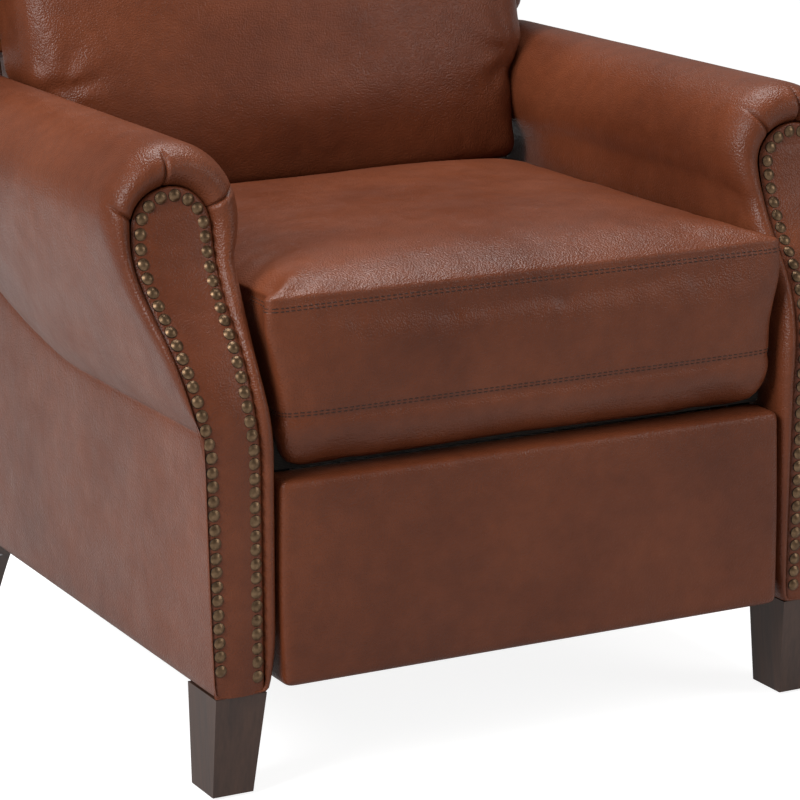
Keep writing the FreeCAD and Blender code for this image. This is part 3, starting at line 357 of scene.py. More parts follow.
def rounded(points, low, high, radius):
    """Points of a block drawn in to edges of this radius; limits may vary by point."""
    inner = np.clip(points, np.asarray(low) + radius, np.asarray(high) - radius)
    out = points - inner
    long = np.maximum(np.linalg.norm(out, axis=1, keepdims=True), 1e-6)
    return inner + out * np.minimum(1.0, radius / long)


def ripple(points, size, tall, seed=0.0):
    """Slow random hills over the points, from minus tall to tall."""
    return tall * np.array([noise.noise(Vector(point) / size + Vector((seed, 0, 0)))
                            for point in points])


def sided(side, points):
    """Shapes are drawn on the right; the left has them mirrored."""
    points = np.array(points, float)
    if side == "left":
        points[:, 0] *= -1
    return points


VOXEL = 0.006
AIR_PRESSURE = 4.0
CLOTH_FRAMES = 20


def inflated(item, cap):
    """Swells a pad under air pressure, up to a cap, and brings its width and depth back."""
    scene = bpy.context.scene
    work = bpy.data.objects.new(item.name + "_work", item.data.copy())
    scene.collection.objects.link(work)
    remesh = work.modifiers.new("remesh", "REMESH")
    remesh.mode = "VOXEL"
    remesh.voxel_size = VOXEL
    remesh.use_smooth_shade = True
    view = bpy.context.evaluated_depsgraph_get()
    work.data = bpy.data.meshes.new_from_object(work.evaluated_get(view))
    work.modifiers.clear()
    before = mesh_points(work.data)
    skin = work.modifiers.new("cloth", "CLOTH")
    skin.settings.use_pressure = True
    skin.settings.uniform_pressure_force = AIR_PRESSURE
    skin.settings.effector_weights.gravity = 0.0
    for step in range(1, CLOTH_FRAMES + 1):
        scene.frame_set(step)
    view = bpy.context.evaluated_depsgraph_get()
    swollen = bpy.data.meshes.new_from_object(work.evaluated_get(view))
    move = mesh_points(swollen) - before
    long = np.maximum(np.linalg.norm(move, axis=1, keepdims=True), 1e-6)
    after = before + move * np.minimum(1, cap / long)
    middle = (before.max(0) + before.min(0)) / 2
    regain = np.ptp(before[:, :2], axis=0) / np.ptp(after[:, :2], axis=0)
    after[:, :2] = middle[:2] + (after[:, :2] - middle[:2]) * regain
    swollen.vertices.foreach_set("co", after.ravel() / 1000)
    item.data = swollen
    swollen.name = item.name
    bpy.data.objects.remove(work)
    scene.frame_set(1)


def mesh_points(mesh):
    """The points of a mesh in millimetres."""
    spots = np.empty(len(mesh.vertices) * 3)
    mesh.vertices.foreach_get("co", spots)
    return spots.reshape(-1, 3) * 1000


def reshape(item, change):
    """Moves the points of a piece by a function of points counted from the arm front."""
    points = mesh_points(item.data) - (0.0, FRONT_Y, 0.0)
    moved = change(points) + (0.0, FRONT_Y, 0.0)
    item.data.vertices.foreach_set("co", moved.ravel() / 1000)
    item.data.update()


def stitches(name, item, body, rows, long=4.4, pitch=6.0, thick=0.5):
    """Short threads sewn into a piece along rows of (point outside it, way inward).

    Long and pitch count the points of a row, which lie 1 mm apart; thick is in millimetres.
    """
    view = bpy.context.evaluated_depsgraph_get()
    tree = BVHTree.FromObject(item, view)
    points, faces = [], []
    for row in rows:
        line = []
        for spot, toward in row:
            start = (Vector(spot) + Vector((0, FRONT_Y, 0))) / 1000
            hit, normal = tree.ray_cast(start, Vector(toward))[:2]
            if hit:
                line.append((Vector(hit) * 1000 - Vector((0, FRONT_Y, 0)), Vector(normal)))
        count = int((len(line) - 1) // pitch)
        for number in range(count):
            first = int(number * pitch)
            last = min(first + int(long), len(line) - 1)
            ends = (line[first], line[(first + last) // 2], line[last])
            along = (ends[2][0] - ends[0][0]).normalized()
            base = len(points)
            for share, (spot, normal) in zip((-0.5, 0.55, -0.5), ends):
                side = along.cross(normal).normalized()
                for turn in range(6):
                    angle = turn * math.pi / 3
                    points.append(spot + normal * thick * (share + math.sin(angle))
                                  + side * thick * math.cos(angle))
            faces += [tuple(base + corner for corner in face) for face in net(3, 6, True)]
            faces.append(tuple(base + corner for corner in range(6)))
            faces.append(tuple(base + 12 + corner for corner in range(6)))
    piece(name, [tuple(point) for point in points], faces, body, THREAD, fine=0)


RAY_START = 25.0


def band_rows(half, front, radius, levels, side_long):
    """Rows of rays at steps of 1 mm round the front of a cushion, at the given heights."""
    ring = [((-half, y), (-1.0, 0.0)) for y in np.arange(side_long, front + radius, -1.0)]
    turn = int(radius * math.pi / 2)
    for step in range(turn):
        angle = math.pi / 2 * step / turn
        way = (-math.cos(angle), -math.sin(angle))
        ring.append(((-half + radius + radius * way[0], front + radius + radius * way[1]), way))
    ring += [((x, front), (0.0, -1.0)) for x in np.arange(-half + radius, 0.0, 1.0)]
    ring += [((-x, y), (-away, toward)) for (x, y), (away, toward) in reversed(ring)]
    return [[((x + RAY_START * away, y + RAY_START * toward, level), (-away, -toward, 0.0))
             for (x, y), (away, toward) in ring] for level in levels]


# Arms

BELLY = (-9.5, 345.0)
SWEEP_TOP = (72.0, 560.0)
ROLL = (326.0, 539.0, 67.0)
ARM_LONG = 672.0
INNER = 277.0
OUTER_FOOT = 333.0
BASE_Z = 104.0
CREASE_Z = 357.0
REAR_ROUND = 25.0
PLEAT_REACH = 6.5


def front_depth(height):
    """How far back the front of the arm lies at a height."""
    middle = (BELLY[1] + SWEEP_TOP[1]) / 2
    rise, run = middle - BELLY[1], (SWEEP_TOP[0] - BELLY[0]) / 2
    radius = (rise * rise + run * run) / (2 * run)
    if height <= BELLY[1]:
        return BELLY[0] * (height - BASE_Z) / (BELLY[1] - BASE_Z)
    if height <= middle:
        return BELLY[0] + radius - math.sqrt(radius ** 2 - (height - BELLY[1]) ** 2)
    if height <= SWEEP_TOP[1]:
        return SWEEP_TOP[0] - radius + math.sqrt(radius ** 2 - (SWEEP_TOP[1] - height) ** 2)
    return SWEEP_TOP[0]


def crease_height(depth):
    """The seam under the outer flank: level in front, rising to the rear."""
    rise = np.maximum((depth - 300.0) / 209.0, 0.0)
    return CREASE_Z + 37.0 * np.minimum(rise, 1.0) ** 1.5 + 62.0 * np.maximum(rise - 1.0, 0.0)


FACING_TOP = (331.0, 529.0, 39.0)
FACING_FOOT = (282.0, 332.5)
WAIST = (283.5, 339.5)
WAIST_Z = 335.0
SHOULDER = (369.5, 487.0)


def facing_edges(height, inset=0.0, outer_inset=0.0):
    """Inner and outer edge of the facing, up to the middle of its round top."""
    left = FACING_TOP[0] - FACING_TOP[2]
    right = FACING_TOP[0] + FACING_TOP[2]
    if height <= WAIST_Z:
        share = (height - BASE_Z) / (WAIST_Z - BASE_Z)
        return FACING_FOOT[0] + 1.5 * share + inset, FACING_FOOT[1] + 7.0 * share - outer_inset
    share = min((height - WAIST_Z) / (FACING_TOP[1] - WAIST_Z), 1.0)
    inner = WAIST[0] + (left - WAIST[0]) * share + 14.0 * share * (1 - share) + inset
    if height <= SHOULDER[1]:
        share = (height - WAIST_Z) / (SHOULDER[1] - WAIST_Z)
        outer = WAIST[1] + (SHOULDER[0] - WAIST[1]) * share
        return inner, outer - outer_inset - (inset - outer_inset) * share
    share = min((height - SHOULDER[1]) / (FACING_TOP[1] - SHOULDER[1]), 1.0)
    return inner, SHOULDER[0] + (right - SHOULDER[0]) * share + 7.0 * share * (1 - share) - inset


def inner_swell(height, depth):
    """How far the padding of the inner side stands out behind the nails."""
    front = 8.0 * float(ease(height, BASE_Z, 150.0) * (1 - ease(height, 345.0, 420.0))
                        * (1 - ease(depth, 25.0, 120.0)))
    under_roll = 12.0 * float(ease(height, 425.0, 485.0) * (0.45 + 0.55 * ease(depth, 40.0, 140.0))
                              * (1 - ease(depth, 450.0, 530.0)))
    return front + under_roll


def base_side(height):
    """The outer side of the arm below the crease."""
    share = np.clip((height - BASE_Z) / (CREASE_Z - BASE_Z), 0, 1)
    return OUTER_FOOT + 7.0 * share + 1.2 * np.sin(np.pi * share)


PLEATS = {"left": (16.0, 82.0, 158.0), "right": (18.0, 84.0, 134.0)}


def arm_rows(side):
    """Matching points round the arm and round its facing, with the distance from a pleat."""
    body, face, tags = [], [], []
    x, z, radius = ROLL
    tuck = math.degrees(math.asin((x - INNER) / radius))
    tuck_z = z - radius * math.cos(math.radians(tuck))
    levels = np.r_[np.linspace(BASE_Z, 317, 11), 321, 322.6, 323.2, 323.8, 325.4,
                   np.linspace(332, tuck_z, 9)]
    for level in levels:
        body.append((INNER, level))
        face.append((facing_edges(level)[0], max(level, BASE_Z + 3)))
        tags.append(0)
    for share in np.linspace(0, 1, 8)[1:-1]:
        angle = math.radians(270 - tuck - (90 - tuck) * share)
        body.append((x + radius * math.cos(angle), z + radius * math.sin(angle)))
        level = tuck_z + (FACING_TOP[1] - tuck_z) * share
        face.append((facing_edges(level)[0], level))
        tags.append(0)
    angles = set(np.linspace(0, 180, 37))
    for pleat in PLEATS[side]:
        angles = {angle for angle in angles if abs(angle - pleat) > PLEAT_REACH}
        angles |= {pleat + offset for offset in (-6, -3.6, -1.8, -0.7, 0, 0.7, 1.8, 3.6, 6)}
    for angle in sorted(angles, reverse=True):
        turn = math.radians(angle)
        body.append((x + radius * math.cos(turn), z + radius * math.sin(turn)))
        face.append((FACING_TOP[0] + FACING_TOP[2] * math.cos(turn),
                     FACING_TOP[1] + FACING_TOP[2] * math.sin(turn)))
        tags.append(angle)
    shares = np.r_[np.linspace(0, 0.9, 15)[1:], 0.95, 0.98, 1.0]
    for share in shares:
        body.append(("flank", share))
        level = FACING_TOP[1] + (352.0 - FACING_TOP[1]) * share
        face.append((facing_edges(level)[1], level))
        tags.append(0)
    for drop in (1.5, 4.0, 9.0):
        body.append(("base", drop))
        face.append((facing_edges(352.0 - drop)[1], 352.0 - drop))
        tags.append(0)
    for share in np.linspace(0, 1, 12)[1:]:
        body.append(("low", share))
        level = 343.0 + (BASE_Z + 3 - 343.0) * share
        face.append((facing_edges(level)[1], level))
        tags.append(0)
    for share in (0.12, 0.5, 0.88):
        body.append((OUTER_FOOT + (INNER - OUTER_FOOT) * share, BASE_Z + 0.8))
        face.append((FACING_FOOT[1] + (FACING_FOOT[0] - FACING_FOOT[1]) * share, BASE_Z + 3))
        tags.append(0)
    return body, face, tags


def arm_outline(body, depth):
    """The outline of the arm at a depth, with its crease at the height it has there."""
    crease = float(crease_height(depth))
    spots = []
    for one, two in body:
        if one == "flank":
            level = ROLL[1] + (crease - ROLL[1]) * two
            spots.append((393.0 - 47.5 * two ** 1.25 - 4.5 * ease(two, 0.88, 1.0), level))
        elif one == "base":
            side = base_side(crease - two)
            spots.append((side - 2.5 + 2.5 * ease(two, 0.5, 9.0), crease - two))
        elif one == "low":
            level = crease - 9.0 + (BASE_Z - crease + 9.0) * two
            spots.append((base_side(level), level))
        elif one == INNER:
            spots.append((INNER - inner_swell(two, depth), two))
        elif one < INNER + 1.0 and two < ROLL[1]:
            spots.append((min(one, INNER - inner_swell(485.0, depth)), two))
        else:
            spots.append((one, two))
    return np.array(spots, float)


def rear_round(points):
    """The top rear corner of the roll is rounded."""
    low = points[:, 1:] - (ARM_LONG - REAR_ROUND, ROLL[1] + ROLL[2] - REAR_ROUND)
    corner = (low > 0).all(axis=1)
    long = np.maximum(np.linalg.norm(low, axis=1), 1e-6)
    scale = np.where(corner, np.minimum(1.0, REAR_ROUND / long), 1.0)
    points[:, 1:] = np.where(corner[:, None],
                             points[:, 1:] - low * (1 - scale[:, None]), points[:, 1:])
    return points


def arm(side):
    """The padded arm: its skin, rolled round the front into the line of the nails."""
    body, face, tags = arm_rows(side)
    face = np.array(face)
    front = np.array([front_depth(level) for level in face[:, 1]])
    outline = arm_outline(body, 0.0)
    edge = np.array([front_depth(level) for level in outline[:, 1]])
    wide = np.linalg.norm(outline - face, axis=1)
    radius = np.clip(wide * 0.95, 3.0, 30.0)
    puff = np.clip(wide * 0.22, 0.5, 7.0)
    start = edge + radius
    pleat = np.array([min((tag - spot for spot in PLEATS[side]), key=abs) if tag else 99.0
                      for tag in tags])
    rows = []
    for depth, inset in ((ARM_LONG - 1.5, 30.0), (ARM_LONG, 10.0), (ARM_LONG - 1.5, 2.5),
                         (ARM_LONG - 6.0, 0.0)):
        ring = arm_outline(body, depth)
        toward = np.stack([np.clip(ring[:, 0], 300.0, 330.0),
                           np.clip(ring[:, 1], BASE_Z + 31.0, 545.0)], 1) - ring
        long = np.maximum(np.linalg.norm(toward, axis=1, keepdims=True), 1.0)
        ring = ring + toward / long * np.minimum(inset, long * 0.9)
        rows.append(np.stack([ring[:, 0], np.full(len(ring), depth), ring[:, 1]], 1))
    for share in np.r_[np.linspace(0, 0.93, 26), 0.97, 1.0]:
        depth = (ARM_LONG - 12.0) * (1 - share) + start * share
        ring = np.array([arm_outline([spot], level)[0] for spot, level in zip(body, depth)])
        rows.append(np.stack([ring[:, 0], depth, ring[:, 1]], 1))
    turn_end = math.radians(140)
    drop = 1 - np.cos(turn_end)
    for turn in np.linspace(0, turn_end, 17)[1:]:
        inward = (1 - math.cos(turn)) / drop
        forward = (radius + puff) * math.sin(turn)
        flat = outline + (face - outline) * inward
        surface = np.array([front_depth(level) for level in flat[:, 1]])
        depth = surface + radius - forward
        away = ease(turn, 0.35, 1.1)
        groove = np.exp(-(pleat / 2.2) ** 2) * 4.0 * away
        step = np.where(pleat > 0, np.exp(-pleat / 7.0), 0) * 1.8 * away
        depth = depth + groove - step
        draw = (groove - step)[:, None] * (face - outline) / np.maximum(wide, 1)[:, None] * 0.5
        flat = flat + draw * math.cos(turn) ** 2
        rows.append(np.stack([flat[:, 0], depth, flat[:, 1]], 1))
    count = len(body)
    points = rear_round(np.concatenate(rows))
    sway = ripple(points, 90.0, 1.0, 3.0 if side == "left" else 8.0)
    points[:, 0] += sway * ease(points[:, 2], BASE_Z + 10, 300) * ease(points[:, 1], 0, 90)
    faces = net(len(rows), count, True)
    faces.append(tuple(range(count)))
    piece(side + "_arm", sided(side, points), faces, "base", LEATHER,
          [side + "_arm_pad"])


def facing(side):
    """The narrow panel between the rows of nails."""
    middle, middle_z, radius = FACING_TOP
    levels = np.r_[np.linspace(BASE_Z + 0.5, middle_z, 46),
                   middle_z + radius * np.sin(np.linspace(0, math.pi / 2, 12))[1:]]
    columns = steps(0, 1, 13, 0.7)
    points = []
    for level in levels:
        if level <= middle_z:
            inner, outer = facing_edges(level)
        else:
            half = math.sqrt(max(radius ** 2 - (level - middle_z) ** 2, 0.3))
            inner, outer = middle - half, middle + half
        for share in columns:
            edge = min(share, 1 - share) * (outer - inner)
            puff = 2.2 * (1 - math.exp(-max(edge - 11.0, 0) / 7.0)) if level < 540 else 0
            dip = 3.0 * math.exp(-edge / 1.6)
            points.append((inner + (outer - inner) * share,
                           front_depth(level) - puff + dip, level))
    piece(side + "_facing", sided(side, points), net(len(levels), len(columns)),
          "base", LEATHER, [side + "_arm_facing"])


NAIL_PITCH = 13.5
LOWEST_NAIL = 121.0


def nail_spots():
    """Places of the nails at an even pitch along the edge of the facing."""
    middle, middle_z, radius = FACING_TOP
    low, inset, outer_inset = LOWEST_NAIL, 8.0, 6.5
    line = [(facing_edges(level, inset)[0], level) for level in np.arange(low, middle_z, 1)]
    line += [(middle - (radius - inset) * math.cos(turn),
              middle_z + (radius - inset) * math.sin(turn))
             for turn in np.linspace(0, math.pi, 100)]
    line += [(facing_edges(level, inset, outer_inset)[1], level)
             for level in np.arange(middle_z, low, -1)]
    spots = []
    travelled = NAIL_PITCH
    before = None
    for x, level in line:
        here = Vector((x, front_depth(level), level))
        if before:
            travelled += (here - before).length
        before = here
        if travelled < NAIL_PITCH:
            continue
        travelled -= NAIL_PITCH
        slope = front_depth(level + 0.5) - front_depth(level - 0.5)
        spots.append((here, Vector((0, -1, slope)).normalized()))
    return spots


def nails(side):
    """Domed nail heads with a low rim, darkened partly for patina and partly as painted shade where
    the head meets the leather.
    """
    profile = ((5.9, -0.6), (6.0, 0.25), (5.6, 0.75), (5.1, 0.95), (4.3, 1.7), (2.9, 2.45),
               (1.4, 2.85))
    around = 14
    points, faces, patina_and_shade_rims = [], [], []
    for spot, normal in nail_spots():
        across = Vector((1, 0, 0))
        above = normal.cross(across)
        first = len(points)
        for reach, tall in profile:
            for turn in range(around):
                angle = 2 * math.pi * turn / around
                points.append(spot + across * reach * math.cos(angle)
                              + above * reach * math.sin(angle) + normal * tall)
        points.append(spot + normal * 2.95)
        for face in net(len(profile), around, True):
            patina_and_shade_rims.append(face[0] < 2 * around)
            faces.append(tuple(first + corner for corner in face))
        last = first + (len(profile) - 1) * around
        for turn in range(around):
            faces.append((last + turn, last + (turn + 1) % around, last + around))
            patina_and_shade_rims.append(False)
    item = piece(side + "_nails", sided(side, [tuple(point) for point in points]), faces, "base",
                 BRASS, [side + "_arm_nails"], fine=0)
    # The lowest band of each head takes the dark rim: patina plus painted shade.
    item.data.materials.append(BRASS_RIM_PATINA_AND_SHADE)
    for face, rim in zip(item.data.polygons, patina_and_shade_rims):
        face.material_index = int(rim)


for side in ("left", "right"):
    arm(side)
    facing(side)
    nails(side)


# Seat cushion

SEAM_Z = 468.0
UNDER_Z = 358.0
SEAT_HALF = 265.0
SEAT_FRONT = -8.0
SEAT_REAR = 518.0
SEAT_CORNER = 12.0
LIP_DEPTH = 22.0
STITCH_LEVELS = (SEAM_Z - 6.0, SEAM_Z - 9.0, UNDER_Z + 6.5, UNDER_Z + 3.5)


def seat_seams(points):
    """Sinks the two seams round the cushion, lifts their rims and spreads the front corners."""
    x, y, z = points.T
    inner = np.stack([np.clip(x, -SEAT_HALF + 40, SEAT_HALF - 40),
                      np.clip(y, SEAT_FRONT + 40, SEAT_REAR - 40)], 1)
    out = points[:, :2] - inner
    reach = np.linalg.norm(out, axis=1)
    out = out / np.maximum(reach, 1e-6)[:, None]
    border = ease(reach, 24.0, 36.0)
    groove = 2.2 * np.exp(-((z - SEAM_Z + 2.5) / 1.9) ** 2)
    lip = 1.5 * np.exp(-((z - SEAM_Z - 1.0) / 2.2) ** 2)
    low = 3.0 * np.exp(-((z - UNDER_Z) / 1.8) ** 2)
    roll = 1.2 * np.exp(-((z - UNDER_Z + 16.0) / 15.0) ** 2) * (y < LIP_DEPTH)
    shift = (lip - groove - low + roll) * border
    points[:, :2] += out * shift[:, None]
    in_front = 1 - ease(y, 0.0, 26.0)
    at_side = ease(np.abs(x), 205.0, SEAT_HALF)
    spread = 12.0 * ease(z, 385.0, SEAM_Z - 20) * in_front * at_side
    points[:, 0] += np.sign(x) * spread
    folds = np.sin(np.arctan2(y - SEAT_FRONT, x + SEAT_HALF) * 9.0)
    away = np.hypot(x + SEAT_HALF, y - SEAT_FRONT)
    top = ease(z, SEAM_Z + 1, SEAM_Z + 8)
    points[:, 2] += 1.6 * folds * np.exp(-((away - 34.0) / 24.0) ** 2) * top
    return points


def seat_bottom(depth):
    """The front lip hangs lower than the part that lies on the springs."""
    return 306.5 + 36.5 * ease(depth, 22.5, 24.0)


def seat_cushion():
    """The seat cushion: a crowned top, an upright band and a lip that turns under in front."""
    half, front, rear = SEAT_HALF, SEAT_FRONT, SEAT_REAR
    xs = steps(-half, half, 54, 0.5)
    ys = np.r_[steps(front, LIP_DEPTH, 9, 0.6), 24.2, 27.0, steps(36.0, rear, 44, 0.4)]
    zs = np.r_[np.linspace(0, 0.8, 8), 0.88, 0.94, 0.97, 1.0, 1.02, 1.05,
               np.linspace(1.12, 1.88, 9), 1.93, 1.96, 1.975, 1.99, 2.0]
    points, faces, places = block(xs, ys, zs)
    level = points[:, 2].copy()
    flat = points[:, :2]
    corner = rounded(flat, (-half, front), (half, rear), SEAT_CORNER)
    top = places[:, 2] == len(zs) - 1
    edge = np.minimum.reduce([half - np.abs(corner[:, 0]), corner[:, 1] - front,
                              rear - corner[:, 1]])
    edge = np.maximum(edge, 0)
    centre = (front + rear) / 2
    out = corner - np.clip(corner, (-half + 60, front + 60), (half - 60, rear - 60))
    out = out / np.maximum(np.linalg.norm(out, axis=1, keepdims=True), 1e-6)
    height = np.empty(len(points))
    under = level < 1
    share = 1 - level[under]
    floor = seat_bottom(flat[under, 1])
    height[under] = UNDER_Z - share * (UNDER_Z - floor)
    deep = np.where(flat[under, 1] < 23.5, 30.0, 14.0)
    draw = deep * (1 - np.sqrt(np.maximum(1 - share ** 2, 0)))
    near = edge[under] < 58
    corner[under] -= out[under] * np.where(near, draw, 0)[:, None]
    band = (level >= 1) & (level <= 2)
    height[band] = UNDER_Z + (level[band] - 1) * (SEAM_Z - UNDER_Z)
    corner[band] += out[band] * (1.6 * np.sin(np.pi * (level[band] - 1)))[:, None] * (
        edge[band] < 40)[:, None]
    across = 1 - (np.abs(points[top, 0]) / half) ** 2.6
    along = 1 - np.abs((points[top, 1] - centre) / ((rear - front) / 2)) ** 2.8
    crown = 17.0 * (1 - np.exp(-edge[top] / 26.0)) + 11.0 * across * along
    rear_drop = 5.0 * ease(points[top, 1], 420.0, rear)
    height[top] = SEAM_Z + crown - rear_drop
    points = np.stack([corner[:, 0], corner[:, 1], height], 1)
    points[:, 2] += np.where(top, ripple(points, 130.0, 1.6, 5.0) * ease(edge, 4, 60), 0)
    points[:, 1] += ripple(points, 110.0, 1.2, 9.0) * (points[:, 1] < 20)
    item = piece("seat_leather", points, faces, "seat", LEATHER, ["seat_cushion"])
    inflated(item, 3.0)
    reshape(item, seat_seams)
    stitches("seat_stitches", item, "seat",
             band_rows(SEAT_HALF, SEAT_FRONT, SEAT_CORNER, STITCH_LEVELS, 60.0))


seat_cushion()


# Back cushion

RAKE = math.radians(14.0)
BACK_FOOT_Y = 566.0
BACK_FOOT_Z = 330.0
NOTCH = (262.0, 588.0)


def back_front(height):
    """How far back the frame of the leaning back begins at a height."""
    return BACK_FOOT_Y + (height - BACK_FOOT_Z) * math.tan(RAKE)


def cushion_half(height):
    """Half width: narrow between the arms and wide above them."""
    return 262.5 + 5.5 * ease(height, 500.0, 550.0) + 20.0 * ease(height, 560.0, 604.0)


def back_cushion():
    """The back cushion, puckered where it widens over the arms."""
    low, top = 470.0, 1012.0
    xs = steps(-1, 1, 50, 0.55)
    ys = steps(0, 1, 9, 0.6)
    zs = np.r_[steps(low, 570, 14, 0.6), steps(577, 623, 12, 0.0), steps(632, top, 34, 0.5)]
    points, faces, places = block(xs, ys, zs)
    half = cushion_half(points[:, 2])
    thick = 98.0 - 18.0 * ease(points[:, 2], 640, 900)
    solid = np.stack([points[:, 0] * half, points[:, 1] * thick, points[:, 2]], 1)
    limit_low = np.stack([-half, np.zeros(len(half)), np.full(len(half), low)], 1)
    limit_high = np.stack([half, thick, np.full(len(half), top)], 1)
    solid = rounded(solid, limit_low, limit_high, 20.0)
    side = 1 - np.clip(np.abs(solid[:, 0]) / half, 0, 1) ** 2.4
    ends = np.clip(ease(solid[:, 2], low - 30, low + 110), 0, 1) * (
        1 - ease(solid[:, 2], top - 170, top + 10))
    crown = (47.0 - 13.0 * ease(solid[:, 2], 650, 900)) * side * (0.25 + 0.75 * ends)
    swell = crown * ease(solid[:, 1] / thick, 0.15, 1.0)
    depth = back_front(solid[:, 2]) - 2.8 - solid[:, 1] - swell
    points = np.stack([solid[:, 0], depth, solid[:, 2]], 1)
    puffy = ripple(points, 120.0, 2.4, 11.0)
    reach = np.abs(points[:, 0]) - NOTCH[0]
    rise = points[:, 2] - NOTCH[1]
    away = np.hypot(reach, rise)
    folds = np.sin(np.arctan2(rise, -reach) * 7.0)
    folds = folds * np.exp(-(away / 55.0) ** 2) * np.minimum(away / 9.0, 1)
    tuck = 6.0 * np.exp(-(away / 12.0) ** 2) * (points[:, 0] < 0)
    points[:, 1] += (puffy + 2.6 * folds + tuck) * ease(solid[:, 1] / thick, 0.3, 1.0)
    item = piece("back_leather", points, faces, "back", LEATHER, ["back_cushion"])
    inflated(item, 4.0)


back_cushion()


# Wings and outside back

def wing(side):
    """A padded ear beside the head, with its two skins joined by a narrow band."""
    foot, top = 607.5, 1024.0
    deep = 92.0 / math.cos(RAKE)
    foot_y, tip_y, tip_z = 652.0, 558.0, 860.0

    def front_edge(share):
        if share < 0.6:
            part = share / 0.6
            return (foot_y - (foot_y - tip_y) * part - 30 * part * (1 - part) * 0.9,
                    foot + (tip_z - foot) * part)
        part = (share - 0.6) / 0.4
        return tip_y + 110 * part ** 2.1, tip_z + (top - 12 - tip_z) * part ** 0.9

    shares = np.unique(np.r_[steps(0, 0.6, 22, 0.3), steps(0.6, 1, 16, 0.3)])
    columns = steps(0, 1, 22, 0.7)
    levels = steps(-1, 1, 7, 0.2)
    grid, faces, places = block(levels, columns, shares)
    points = []
    for across, column, share in grid:
        edge_y, edge_z = front_edge(share)
        crest = top + 5.0 * math.sin(math.pi * min(column * 1.1, 1.0)) if share else foot
        z = edge_z + (foot + (crest - foot) * share - edge_z) * ease(column, 0.0, 0.8)
        rear = back_front(z) + deep
        y = edge_y + (rear - edge_y) * column
        long = rear - edge_y
        border = min(column * long, (1 - column) * long + 14, share * (top - foot),
                     (1 - share) * (top - foot))
        half = 9.0 + 14.5 * math.sqrt(1 - (1 - min(border / 22.0, 1.0)) ** 2)
        bulge = 1.5 * math.sin(math.pi * column) * math.sin(math.pi * share)
        points.append((324.0 + across * (half + bulge * (half > 20)), y, z))
    points = np.array(points)
    points[:, 0] = np.maximum(points[:, 0], 300.2)
    item = piece(side + "_wing_leather", sided(side, points), faces, "back", LEATHER,
                 [side + "_wing"])


def leaning(points):
    """From (x, up the back, behind its front face) to the frame."""
    points = np.asarray(points, float)
    y = BACK_FOOT_Y + points[:, 1] * math.sin(RAKE) + points[:, 2] * math.cos(RAKE)
    z = BACK_FOOT_Z + points[:, 1] * math.cos(RAKE) - points[:, 2] * math.sin(RAKE)
    return np.stack([points[:, 0], y, z], 1)


BACK_SIDE = 258.0
BACK_WIDE = 299.5


def outside_back():
    """The panel that closes the back, turned over the top."""
    low_edge, high_edge, inside, outside = 50.0, 724.0, 70.2, 92.0
    xs = steps(-1, 1, 40, 0.5)
    ups = np.r_[steps(50, 300, 16, 0.5), 306, 311, 313.5, 318, steps(326, 724, 30, 0.5)]
    grid, faces, places = block(xs, ups, steps(0, 1, 5, 0.3))
    half = np.where(grid[:, 1] < 312.0, BACK_SIDE, BACK_WIDE)
    count = len(half)
    solid = np.stack([grid[:, 0] * half, grid[:, 1], inside + grid[:, 2] * 21.8], 1)
    low = np.stack([-half, np.full(count, low_edge), np.full(count, inside)], 1)
    high = np.stack([half, np.full(count, high_edge), np.full(count, outside)], 1)
    solid = rounded(solid, low, high, 7.0)
    puff = (1 - np.abs(grid[:, 0]) ** 4) * np.sin(np.pi * (grid[:, 1] - 50) / 674)
    solid[:, 2] += 4.0 * puff * grid[:, 2]
    cap_low, cap_high = (-BACK_WIDE, 712.2, -2.0), (BACK_WIDE, 724.5, 74.0)
    cap, cap_faces, places = block(steps(cap_low[0], cap_high[0], 40, 0.5),
                                   steps(cap_low[1], cap_high[1], 5, 0.3),
                                   steps(cap_low[2], cap_high[2], 10, 0.4))
    cap = rounded(cap, cap_low, cap_high, 5.5)
    points = leaning(np.concatenate([solid, cap]))
    faces = faces + [tuple(corner + len(solid) for corner in face) for face in cap_faces]
    piece("outside_back_leather", points, faces, "back", LEATHER, ["outside_back"])


def back_side(side):
    """Leather over the edge of the back frame, turned out under the foot of the wing."""
    low, high = (254.3, 30.0, -2.0), (BACK_SIDE, 306.0, 69.8)
    upright, upright_faces, places = block(steps(low[0], high[0], 3, 0.0),
                                           steps(low[1], high[1], 24, 0.4),
                                           steps(low[2], high[2], 9, 0.4))
    upright = rounded(upright, low, high, 1.6)
    low, high = (258.2, 295.0, 0.0), (299.4, 309.0, 69.8)
    shelf, shelf_faces, places = block(steps(low[0], high[0], 9, 0.4),
                                       steps(low[1], high[1], 5, 0.4),
                                       steps(low[2], high[2], 9, 0.4))
    shelf = rounded(shelf, low, high, 4.0)
    faces = upright_faces + [tuple(corner + len(upright) for corner in face)
                             for face in shelf_faces]
    points = leaning(np.concatenate([upright, shelf]))
    piece(side + "_back_side_leather", sided(side, points), faces, "back", LEATHER)


for side in ("left", "right"):
    wing(side)
    back_side(side)
outside_back()


# Footrest and rear panel

